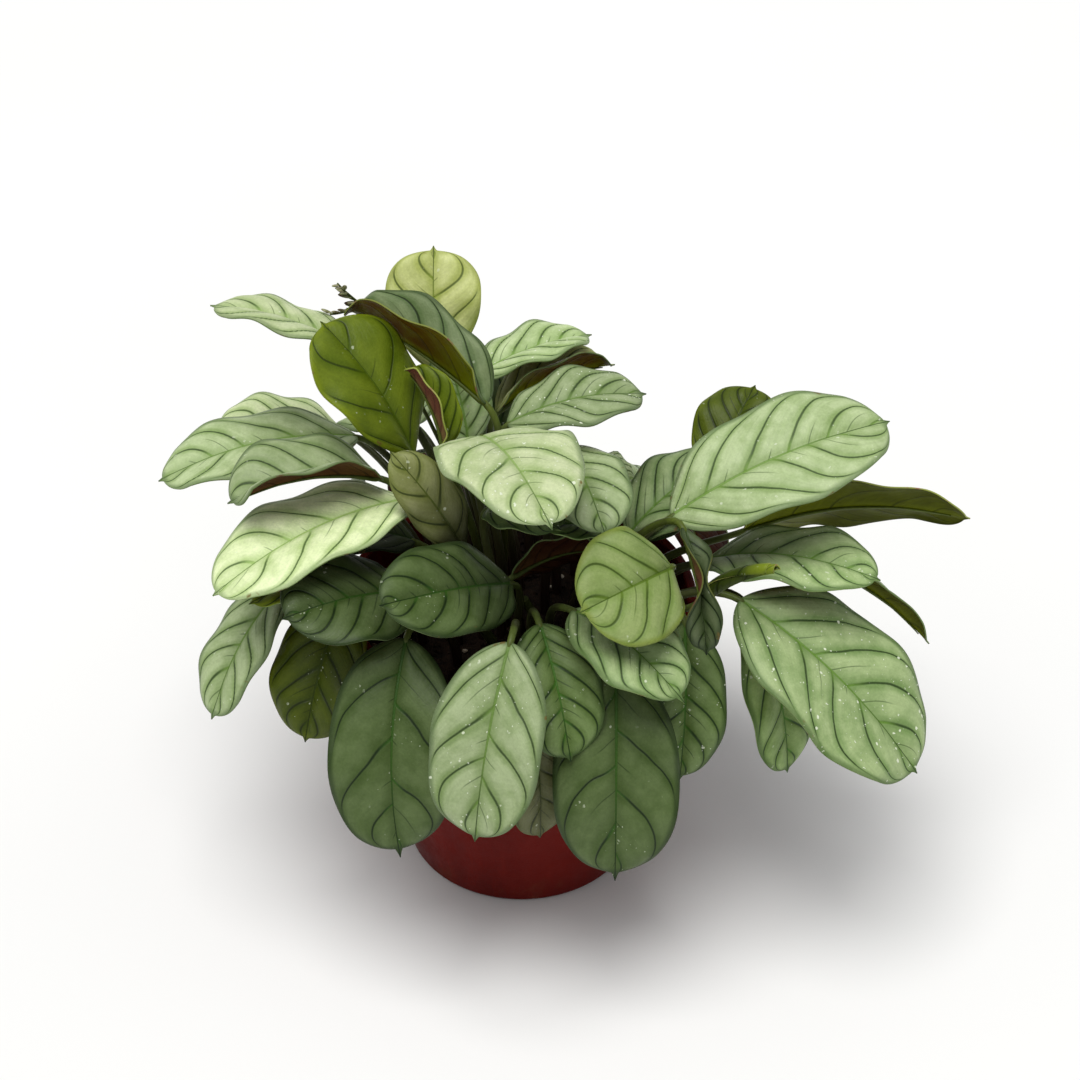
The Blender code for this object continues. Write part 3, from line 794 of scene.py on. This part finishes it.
def grid_steps(leaf):
    """How many columns and rows a blade's grid has, from its size."""
    columns = 2 * round(leaf.width / BLADE_MESH / 2)
    rows = round(chord(leaf)[0].length * 1.04 / BLADE_MESH)
    return columns, rows + POINT_ROWS


def row_share(leaf, row, rows, length):
    """The share of the blade's length at a row: close rows at both ends, then the rows of the point."""
    body_rows = rows - POINT_ROWS
    if row > body_rows:
        return 1 + (row - body_rows) / POINT_ROWS * leaf.point / length
    step = row / body_rows
    return 0.25 * step + 0.75 * (1 - math.cos(math.pi * step)) / 2


def row_half_width(leaf, t, length):
    """Half of the blade's width at a row, with the narrow base and the small point."""
    past = max(0.0, (t - 1) * length / leaf.point)
    near_tip = max(0.0, 1 - (1 - t) * length / END_REACH)
    point = POINT_HALF_WIDTH * min(1.0, near_tip) ** 2 * max(0.0, 1 - past) ** POINT_TAPER
    base = BASE_HALF_WIDTH * max(0.0, 1 - t * length / END_REACH)
    blunt = blunt_width(leaf, t) if t < 1 else 0
    return max(LEAST_HALF_WIDTH, math.sqrt(blunt**2 + point**2 + base**2))


def vein_order(leaf, s, t, length, draws):
    """The side veins as the whole numbers of a smooth order, and the millimetres from each to the next."""
    outward = np.minimum(np.abs(s), VEIN_OUTERMOST)
    half = leaf.width / 2
    slope = half / (length * math.tan(math.radians(VEIN_ANGLE)))
    crowd = outward**VEIN_BEND_POWER
    reach = slope * outward - leaf.bend * np.log(1 - crowd)
    steep = slope + leaf.bend * VEIN_BEND_POWER * outward ** (VEIN_BEND_POWER - 1) / (1 - crowd)
    waves = np.sin(2 * np.pi * (VEIN_UNEVEN_WAVES * t + draws[2]))
    uneven = t + VEIN_UNEVENNESS * waves * (1 + 0.5 * np.sign(s))
    phase = draws[3] + np.where(s > 0, RIGHT_VEIN_SHIFT + RIGHT_VEIN_SPREAD * draws[4], 0)
    order = (uneven - reach) * leaf.veins + phase
    pitch = 1 / (leaf.veins * np.sqrt(1 / length**2 + (steep / half) ** 2))
    return order, pitch


def set_map(mesh, name, first, second):
    """A map of the mesh from two lists of numbers, one pair for each face corner."""
    layer = mesh.uv_layers.new(name=name)
    layer.uv.foreach_set("vector", np.stack([first, second], 1).astype(np.float32).ravel())


def set_numbers(mesh, name, values):
    """A number at each point of the mesh."""
    held = mesh.attributes.new(name, "FLOAT", "POINT")
    held.data.foreach_set("value", np.asarray(values, np.float32))


def set_leaf_numbers(mesh, leaf, draws, margin, pitch, share):
    """The numbers that a leaf's finishes read at each point."""
    count = len(mesh.vertices)
    set_numbers(mesh, "margin_mm", np.broadcast_to(margin, count))
    set_numbers(mesh, "vein_pitch", np.broadcast_to(pitch, count))
    set_numbers(mesh, "share", np.clip(share, 0, 1))
    # The tone is partly painted light and shade, and the fade paints shade towards the stalk.
    tone = leaf.tone * (1 + 0.1 * (draws[5] - 0.5))
    set_numbers(mesh, "tone", tone * (1 - leaf.fade * (1 - np.clip(share, 0, 1))))
    set_numbers(mesh, "specks", np.full(count, leaf.specks))


def lay_blade(leaf, draws):
    """A flat grid, laid along the midrib, quilted between its veins and waved along its margins.

    Its maps are shifted by whole numbers from a random draw, so that no two leaves have the same marks.
    """
    columns, rows = grid_steps(leaf)
    length = chord(leaf)[0].length
    blade = add(bpy.ops.mesh.primitive_grid_add, x_subdivisions=columns, y_subdivisions=rows, size=2)
    mesh = blade.data
    flat = read_places(mesh)
    s = flat[:, 0].copy()
    row = np.rint((flat[:, 1] + 1) / 2 * rows).astype(int)
    shares = [row_share(leaf, i, rows, length) for i in range(rows + 1)]
    halves = [row_half_width(leaf, t, length) for t in shares]
    folds = [fold_angle(leaf, t, half) for t, half in zip(shares, halves)]
    mids, rights, faces = [], [], []
    for t in shares:
        along, right, face = midrib_axes(leaf, min(t, 1))
        mids.append(midrib_point(leaf, min(t, 1)) + along * (max(0, t - 1) * length))
        rights.append(right)
        faces.append(face)
    t, half, fold = np.array(shares)[row], np.array(halves)[row], np.array(folds)[row]
    mid, right, face = np.array(mids)[row], np.array(rights)[row], np.array(faces)[row]
    order, pitch = vein_order(leaf, s, t, length, draws)
    start = np.where(s < 0, draws[0], draws[1])
    wave = WAVE_HEIGHT * s * s * np.sin(2 * np.pi * (WAVES * t + start))
    lift = half * (np.sin(fold) * np.abs(s) - MARGIN_CURL * s * s + wave)
    outward = np.abs(s)
    quilt = np.abs(np.sin(np.pi * order)) ** QUILT_POWER
    quilt = quilt * np.clip(outward * QUILT_RISE, 0, 1) * np.clip((1 - outward) * QUILT_FALL, 0, 1)
    fade = np.clip(np.minimum(t, 1 - t) * END_FADE, 0, 1)
    lift += QUILT_HEIGHT * quilt * fade
    lift -= RIB_GROOVE * fade * np.exp(-((s * half / RIB_GROOVE_WIDTH) ** 2))
    flat_places = zip(s * half, t * length)
    ripples = [noise.noise(Vector((a, b, draws[0] * 50)) / RIPPLE_LENGTH) for a, b in flat_places]
    limp = RIPPLE_AT_RIB + RIPPLE_AT_MARGIN * leaf.crumple * outward
    lift += RIPPLE_HEIGHT * np.array(ripples) * limp * np.clip(half / RIPPLE_LEAST_WIDTH, 0, 1)
    place = mid + right * (s * half * np.cos(fold))[:, None] + face * lift[:, None]
    mesh.vertices.foreach_set("co", (place * MM).ravel())
    ends = np.minimum((1 - t) * length * 0.9 + TIP_MARGIN, t * length + BASE_MARGIN)
    margin = np.minimum((1 - outward) * half, ends)
    set_leaf_numbers(mesh, leaf, draws, np.maximum(margin, 0), pitch, t)
    corners = read_corners(mesh)
    side = np.sign(s[corners].reshape(-1, 4).sum(1)).repeat(4)
    nudged = np.where(s[corners] == 0, side * 1e-6, s[corners])
    corner_order = vein_order(leaf, nudged, t[corners], length, draws)[0]
    corner_order += math.floor(40 * draws[5]) + np.where(side > 0, 20, 0)
    mesh.uv_layers.remove(mesh.uv_layers[0])
    set_map(mesh, "flat", (s * half)[corners], (t * length)[corners] + math.floor(100 * draws[5]))
    set_map(mesh, "vein", corner_order, outward[corners])
    mesh.update()
    return blade


def lay_tube(route, material):
    """A round tube along a curve: each point has its place, its two handles and its radius."""
    curve = add(bpy.ops.curve.primitive_bezier_curve_add)
    curve.data.bevel_depth = MM
    curve.data.bevel_resolution = STALK_RING_SIDES
    curve.data.resolution_u = STALK_RESOLUTION
    curve.data.use_fill_caps = True
    spline = curve.data.splines[0]
    spline.bezier_points.add(len(route) - 2)
    for point, (place, before, after, radius) in zip(spline.bezier_points, route):
        point.handle_left_type = "FREE"
        point.handle_right_type = "FREE"
        point.co = place * MM
        point.handle_left = before * MM
        point.handle_right = after * MM
        point.radius = radius
    select_only(curve)
    bpy.ops.object.convert(target="MESH")
    tube = bpy.context.active_object
    dress(tube, material)
    bpy.ops.object.mode_set(mode="EDIT")
    bpy.ops.mesh.select_all(action="SELECT")
    bpy.ops.mesh.remove_doubles(threshold=WELD_DISTANCE)
    leave_edit_mode()
    return tube


def lay_stalk(leaf, foot, material, girth=1.0):
    """A stalk: up out of the soil, a long curve, a thicker knee, and the midrib's keel under the blade."""
    start = Vector((foot[0], foot[1], SOIL_TOP + 1.5 * SOIL_RELIEF))
    along, _, face = midrib_axes(leaf, 0)
    end = Vector(leaf.base)
    if leaf.form == "open":
        end -= face * KNEE_SINK
    rise = (end - start).length
    lift = start + UP * (STALK_LIFT * rise)
    knee = end - along * min(KNEE_REACH, KNEE_SHARE * rise)
    buried = Vector((foot[0], foot[1], SOIL_TOP - STALK_DEPTH))
    third = (start - buried) / 3
    route = [
        (buried, buried - third, buried + third, SHEATH_RADIUS * girth),
        (start, start - third, lift, SHEATH_RADIUS * girth),
        (end, knee, end + along, KNEE_RADIUS * girth),
    ]
    length = chord(leaf)[0].length
    for i, t in enumerate(RIB_STATIONS if leaf.form == "open" else ()):
        forward, _, face = midrib_axes(leaf, t)
        share = i / (len(RIB_STATIONS) - 1)
        radius = RIB_START_RADIUS + (RIB_END_RADIUS - RIB_START_RADIUS) * share
        place = midrib_point(leaf, t) - face * (BLADE_THICKNESS / 2 + RIB_GROOVE + RIB_SINK * radius)
        reach = forward * (length * RIB_HANDLE)
        route.append((place, place - reach, place + reach, radius))
    stalk = lay_tube(route, material)
    mesh = stalk.data
    samples = []
    for i in range(STALK_SAMPLES + 1):
        t = i / STALK_SAMPLES
        low = start * (1 - t) ** 3 + lift * (3 * t * (1 - t) ** 2)
        samples.append(low + knee * (3 * t * t * (1 - t)) + end * t**3)
    places = read_places(mesh) / MM
    nearest = ((places[:, None] - np.array(samples)[None]) ** 2).sum(2).argmin(1)
    set_numbers(mesh, "rise", nearest / STALK_SAMPLES)
    return stalk


def roll_spear(leaf, draws):
    """A leaf that is still rolled up: its blade wound round itself, with the free margin on a long slant."""
    length = chord(leaf)[0].length
    operator = bpy.ops.mesh.primitive_grid_add
    blade = add(operator, x_subdivisions=SPEAR_COLUMNS, y_subdivisions=SPEAR_ROWS, size=2)
    mesh = blade.data
    turns, shares = [], []
    for vertex in mesh.vertices:
        turn = (vertex.co.x + 1) / 2
        t = (vertex.co.y + 1) / 2
        turns.append(turn)
        shares.append(t)
        along, right, face = midrib_axes(leaf, t)
        swell = leaf.width / 2 * (0.62 + 0.5 * math.sin(math.pi * (0.15 + 0.75 * t)))
        radius = swell * (0.55 + 0.45 * turn)
        angle = -2 * math.pi * (SPEAR_TURNS * turn + SPEAR_TWIST * t)
        slant = along * (SPEAR_SLANT * (0.5 - turn) * t)
        place = midrib_point(leaf, t) + right * (math.cos(angle) * radius) + face * (math.sin(angle) * radius)
        vertex.co = (place + slant) * MM
    corners = read_corners(mesh)
    turn, share = np.array(turns), np.array(shares)
    mesh.uv_layers.remove(mesh.uv_layers[0])
    set_map(mesh, "flat", ((turn - 0.3) * 18 + 4)[corners], (share * length)[corners] + 70)
    set_map(mesh, "vein", (share * 3 + turn * 2)[corners], (turn * 0.5 + 0.1)[corners])
    set_leaf_numbers(mesh, leaf, draws, 4.0 * (1 - share) + 0.8, 6.0, share)
    return blade


def make_leaf(leaf, foot, finishes):
    """One leaf: its blade with a face, a back and a rim, and its stalk, joined as one piece."""
    node = "leaf_" + leaf.name
    draw = random.Random(f"{SEED} {node}")
    draws = [draw.random() for _ in range(6)]
    blade = lay_blade(leaf, draws) if leaf.form == "open" else roll_spear(leaf, draws)
    face = finishes["face " + leaf.face]
    back = finishes["back " + leaf.back] if leaf.form == "open" else face
    dress(blade, face, back, finishes["rim " + leaf.age])
    apply_modifier(
        blade, "SOLIDIFY", thickness=BLADE_THICKNESS * MM, offset=0, use_rim=True,
        material_offset=1, material_offset_rim=2,
    )
    stalk = lay_stalk(leaf, foot, finishes["stalk " + ("mature" if leaf.form == "rolled" else leaf.age)])
    join(blade, stalk)
    bpy.ops.object.shade_smooth()
    slot = "young_leaf" if leaf.age == "young" else "leaf"
    return settle(blade, leaf.name + "_leaf", slot, node)


def make_flower_spike(leaf, foot, finishes):
    """The spent flower spike: a thin stem with a short side branch, and small papery scales on both."""
    draw = random.Random(f"{SEED} scales")
    base, tip = Vector(leaf.base), Vector(leaf.tip)
    stalk = finishes["stalk young"]
    stem = lay_stalk(leaf, foot, stalk, SPIKE_GIRTH)
    fork = base.lerp(tip, 0.2)
    branches = ((base, tip), (fork, fork + Vector(SPIKE_BRANCH)))
    pieces = [stem]
    for low, high in branches:
        third = (high - low) / 3 + UP * SPIKE_BOW
        thick, thin = SPIKE_RADII
        route = [(low, low - third, low + third, thick), (high, high - third, high + third, thin)]
        tube = lay_tube(route, stalk)
        set_numbers(tube.data, "rise", np.full(len(tube.data.vertices), 0.6))
        pieces.append(tube)
    scale = add(bpy.ops.mesh.primitive_uv_sphere_add, segments=10, ring_count=8, radius=MM)
    dress(scale, finishes["dry"])
    for (low, high), count in zip(branches, SCALE_COUNTS):
        line = (high - low).normalized()
        for i in range(count):
            share = 0.35 + 0.65 * i / (count - 1)
            size = 1.75 - 0.75 * share
            sideways = Vector((draw.uniform(-1, 1), draw.uniform(-1, 1), draw.uniform(-1, 1)))
            outward = line.cross(sideways).normalized()
            aim = (line + outward * 0.75).normalized()
            place = low.lerp(high, share) + outward * 0.5 + aim * size * 0.8
            turn = aim.to_track_quat("Z", "Y").to_matrix().to_4x4()
            shape = Matrix.Diagonal((*(part * size for part in SCALE_SHAPE), 1))
            pieces.append(copy_shaped(scale, Matrix.Translation(place * MM) @ turn @ shape))
    bpy.data.objects.remove(scale)
    spike = join(*pieces)
    bpy.ops.object.shade_smooth()
    return settle(spike, "spent_flower_spike", "young_leaf", leaf.name)


def make_leaves():
    """All leaves and the flower spike, with the finishes they share."""
    finishes = {}
    tables = ((leaf_face, FACES), (leaf_back, BACKS), (leaf_rim, RIMS), (stalk_finish, STALKS))
    for kind, (finish, table) in zip(("face", "back", "rim", "stalk"), tables):
        for name, shades in table.items():
            finishes[f"{kind} {name}"] = finish(name, *(paint(*shade) for shade in shades))
    finishes["dry"] = dry_finish()
    for leaf, foot in zip(LEAVES, stalk_feet()):
        if leaf.name == "flower_spike":
            make_flower_spike(leaf, foot, finishes)
        else:
            make_leaf(leaf, foot, finishes)
    make_cut_stalks(finishes["stalk mature"])


def make_cut_stalks(material):
    """Stumps of old leaves, cut off a little above the soil."""
    stumps = []
    for foot, end in CUT_STALKS:
        foot, end = Vector(foot), Vector(end)
        third = (end - foot) / 3
        thick, thin = STUMP_RADII
        bowed = foot + third + UP * STUMP_BOW
        route = [(foot, foot - third, bowed, thick), (end, end - third, end + third, thin)]
        stump = lay_tube(route, material)
        set_numbers(stump.data, "rise", np.full(len(stump.data.vertices), 0.82))
        stumps.append(stump)
    cut = join(*stumps)
    smooth_below(cut, SOIL_SMOOTH_ANGLE)
    return settle(cut, "cut_stalks", "leaf")


def grow_profile(profile, sides):
    """A disc at the first (radius, height), drawn up through the others ring by ring, left in edit mode."""
    radius, height = profile[0]
    operator = bpy.ops.mesh.primitive_circle_add
    piece = add(operator, (0, 0, height * MM), vertices=sides, radius=radius * MM, fill_type="NGON")
    bpy.ops.object.transform_apply(location=True, rotation=False, scale=False)
    bpy.ops.object.mode_set(mode="EDIT")
    bpy.ops.mesh.select_all(action="SELECT")
    for next_radius, next_height in profile[1:]:
        rise = (next_height - height) * MM
        bpy.ops.mesh.extrude_region_move(TRANSFORM_OT_translate={"value": (0, 0, rise)})
        grow = next_radius / radius
        bpy.ops.transform.resize(value=(grow, grow, 1), center_override=(0, 0, next_height * MM))
        radius, height = next_radius, next_height
    return piece


def pot_inner_radius(height):
    """The radius of the pot's inner wall below the collar's step."""
    share = height / (POT_HEIGHT - COLLAR_HEIGHT)
    outer = POT_BASE_RADIUS + share * (POT_RIM_RADIUS - RIM_LIP - COLLAR_STEP - POT_BASE_RADIUS)
    return outer - POT_WALL


def pot_profile():
    """The pot's section: up its outside, over the rolled lip, and down its inside to the floor.

    The fractions of a millimetre ease its edges.
    """
    collar_low = POT_HEIGHT - COLLAR_HEIGHT
    collar_out = POT_RIM_RADIUS - RIM_LIP
    body_top = collar_out - COLLAR_STEP
    lip_low = POT_HEIGHT - RIM_LIP_HEIGHT
    foot = [
        (POT_BASE_RADIUS - FOOT_CHAMFER * (1 - math.sin(turn)), FOOT_CHAMFER * (1 - math.cos(turn)))
        for turn in np.linspace(0, math.pi / 2, 6)
    ]
    flare, rise = body_top - POT_BASE_RADIUS, collar_low - 0.8 - FOOT_CHAMFER
    steps = np.linspace(0.1, 1, 12)
    body = [(POT_BASE_RADIUS + flare * share, FOOT_CHAMFER + rise * share) for share in steps]
    collar = [(body_top + 0.15, collar_low - 0.35), (collar_out - 0.3, collar_low - 0.1)]
    collar += [(collar_out, collar_low + 0.25)]
    lip = [(collar_out, lip_low - 0.5), (POT_RIM_RADIUS - 0.3, lip_low - 0.15)]
    middle, roundness = (lip_low + POT_HEIGHT) / 2, RIM_LIP_HEIGHT / 2
    lip += [
        (POT_RIM_RADIUS - 0.5 + 0.5 * math.cos(turn), middle + (roundness - 0.1) * math.sin(turn))
        for turn in np.linspace(-1.2, 1.4, 9)
    ]
    inner = collar_out - POT_WALL
    lip += [(POT_RIM_RADIUS - 1.1, POT_HEIGHT), (inner + 0.35, POT_HEIGHT), (inner, POT_HEIGHT - 0.4)]
    inside = [(inner, collar_low + COLLAR_STEP + 0.5), (pot_inner_radius(collar_low), collar_low + 0.5)]
    return foot + body + collar + lip + inside + [(pot_inner_radius(POT_FLOOR), POT_FLOOR)]


def make_pot():
    """The pot: drawn up from its foot, with drain holes cut through its floor."""
    pot = grow_profile(pot_profile(), POT_SIDES)
    leave_edit_mode()
    drains = []
    for i in range(DRAIN_COUNT):
        angle = 2 * math.pi * i / DRAIN_COUNT
        place = (DRAIN_RING * math.cos(angle) * MM, DRAIN_RING * math.sin(angle) * MM, POT_FLOOR / 2 * MM)
        size = {"vertices": DRAIN_SIDES, "radius": DRAIN_RADIUS * MM, "depth": 3 * POT_FLOOR * MM}
        drains.append(add(bpy.ops.mesh.primitive_cylinder_add, place, **size))
    cutter = join(*drains)
    apply_modifier(pot, "BOOLEAN", operation="DIFFERENCE", object=cutter)
    bpy.data.objects.remove(cutter)
    dress(pot, pot_finish())
    smooth_below(pot, POT_SMOOTH_ANGLE)
    return settle(pot, "nursery_pot", "pot", "pot")


def soil_height(x, y):
    """The height of the soil's loose top at a place, level at its edge."""
    reach = math.hypot(x, y)
    fade = max(0.0, min(1.0, (pot_inner_radius(SOIL_TOP) - SOIL_EDGE_FLAT - reach) / SOIL_EDGE_FADE))
    bumps = noise.noise(Vector((x, y, 0)) / SOIL_GRAIN)
    bumps += 0.5 * noise.noise(Vector((x, y, SOIL_TOP)) * 2 / SOIL_GRAIN)
    coarse, fine = CRUMB_GRAINS
    crumbs = abs(noise.noise(Vector((x, y, 3)) / coarse)) + 0.5 * abs(noise.noise(Vector((x, y, 8)) / fine))
    return SOIL_TOP + SOIL_RELIEF * fade * bumps + CRUMB_RELIEF * crumbs


def scatter(count, sizes, lengths, draw):
    """Copies of a small rough stone, strewn over the soil."""
    stone = add(bpy.ops.mesh.primitive_ico_sphere_add, subdivisions=1, radius=MM)
    copies = []
    for _ in range(count):
        copied = copy_shaped(stone, Matrix())
        size = draw.uniform(*sizes)
        reach = (pot_inner_radius(SOIL_TOP) - SOIL_EDGE_FLAT) * math.sqrt(draw.random())
        angle = draw.uniform(0, 2 * math.pi)
        x, y = reach * math.cos(angle), reach * math.sin(angle)
        for vertex in copied.data.vertices:
            vertex.co *= draw.uniform(0.75, 1.2)
        shape = Matrix.Diagonal((size * draw.uniform(*lengths), size, size * draw.uniform(0.5, 0.9), 1))
        turn = Matrix.Rotation(draw.uniform(0, math.pi), 4, "Z")
        turn = turn @ Matrix.Rotation(draw.uniform(-0.5, 0.5), 4, "Y")
        place = Matrix.Translation(Vector((x, y, soil_height(x, y) + 0.3 * size)) * MM)
        copied.data.transform(place @ turn @ shape)
        copies.append(copied)
    bpy.data.objects.remove(stone)
    return join(*copies)


def make_soil():
    """The root ball with its loose top, the crumbs and chips of bark on it, and white grit."""
    low = POT_FLOOR + SOIL_CLEARANCE
    neck = POT_HEIGHT - COLLAR_HEIGHT
    neck_radius = pot_inner_radius(neck) - SOIL_CLEARANCE
    profile = [(pot_inner_radius(low) - SOIL_CLEARANCE, low), (neck_radius, neck), (neck_radius, SOIL_TOP)]
    soil = grow_profile(profile, SOIL_SIDES)
    for _ in range(SOIL_RINGS):
        bpy.ops.mesh.inset(thickness=neck_radius / (SOIL_RINGS + 1) * MM, depth=0)
    bpy.ops.mesh.merge(type="CENTER")
    leave_edit_mode()
    for vertex in soil.data.vertices:
        if vertex.co.z > (SOIL_TOP - 0.1) * MM:
            vertex.co.z = soil_height(vertex.co.x / MM, vertex.co.y / MM) * MM
    # The soil's finish, whose darkness is partly painted shade, serves the crumbs too.
    earth = soil_finish()
    dress(soil, earth)
    smooth_below(soil, SOIL_SMOOTH_ANGLE)
    settle(soil, "root_ball", "soil", "soil")
    draw = random.Random(f"{SEED} crumbs")
    crumbs = scatter(CRUMB_COUNT, CRUMB_SIZES, CRUMB_LENGTHS, draw)
    dress(crumbs, earth)
    settle(crumbs, "soil_crumbs", "soil")
    grit = scatter(GRIT_COUNT, GRIT_SIZES, GRIT_LENGTHS, draw)
    dress(grit, grit_finish())
    settle(grit, "white_grit", "soil")


def make_stage():
    """A pale floor, a camera where the photograph's was, a broad soft lamp overhead and a pale sky."""
    floor = add(bpy.ops.mesh.primitive_plane_add, size=FLOOR_SIZE)
    floor.name = "floor"
    floor.data.materials.append(floor_finish())
    tilt = math.radians(CAMERA_ELEVATION)
    back = Vector((0, -math.cos(tilt), math.sin(tilt)))
    place = CAMERA_TARGET + back * CAMERA_DISTANCE
    camera = add(bpy.ops.object.camera_add, place, rotation=(math.pi / 2 - tilt, 0, 0))
    camera.data.lens = CAMERA_LENS
    bpy.context.scene.camera = camera
    lamp = add(bpy.ops.object.light_add, LAMP_PLACE, type="SUN")
    lamp.rotation_euler = LAMP_PLACE.to_track_quat("Z", "Y").to_euler()
    lamp.data.angle = math.radians(LAMP_SPREAD)
    lamp.data.energy = LAMP_ENERGY
    lamp.data.color = LAMP_COLOUR
    world = bpy.data.worlds.new("soft sky")
    bpy.context.scene.world = world
    world.use_nodes = True
    sky = world.node_tree.nodes["Background"].inputs
    sky["Color"].default_value = SKY_COLOUR
    sky["Strength"].default_value = SKY_STRENGTH
    bpy.context.scene.view_settings.view_transform = "Standard"


make_stage()
make_leaves()
make_pot()
make_soil()
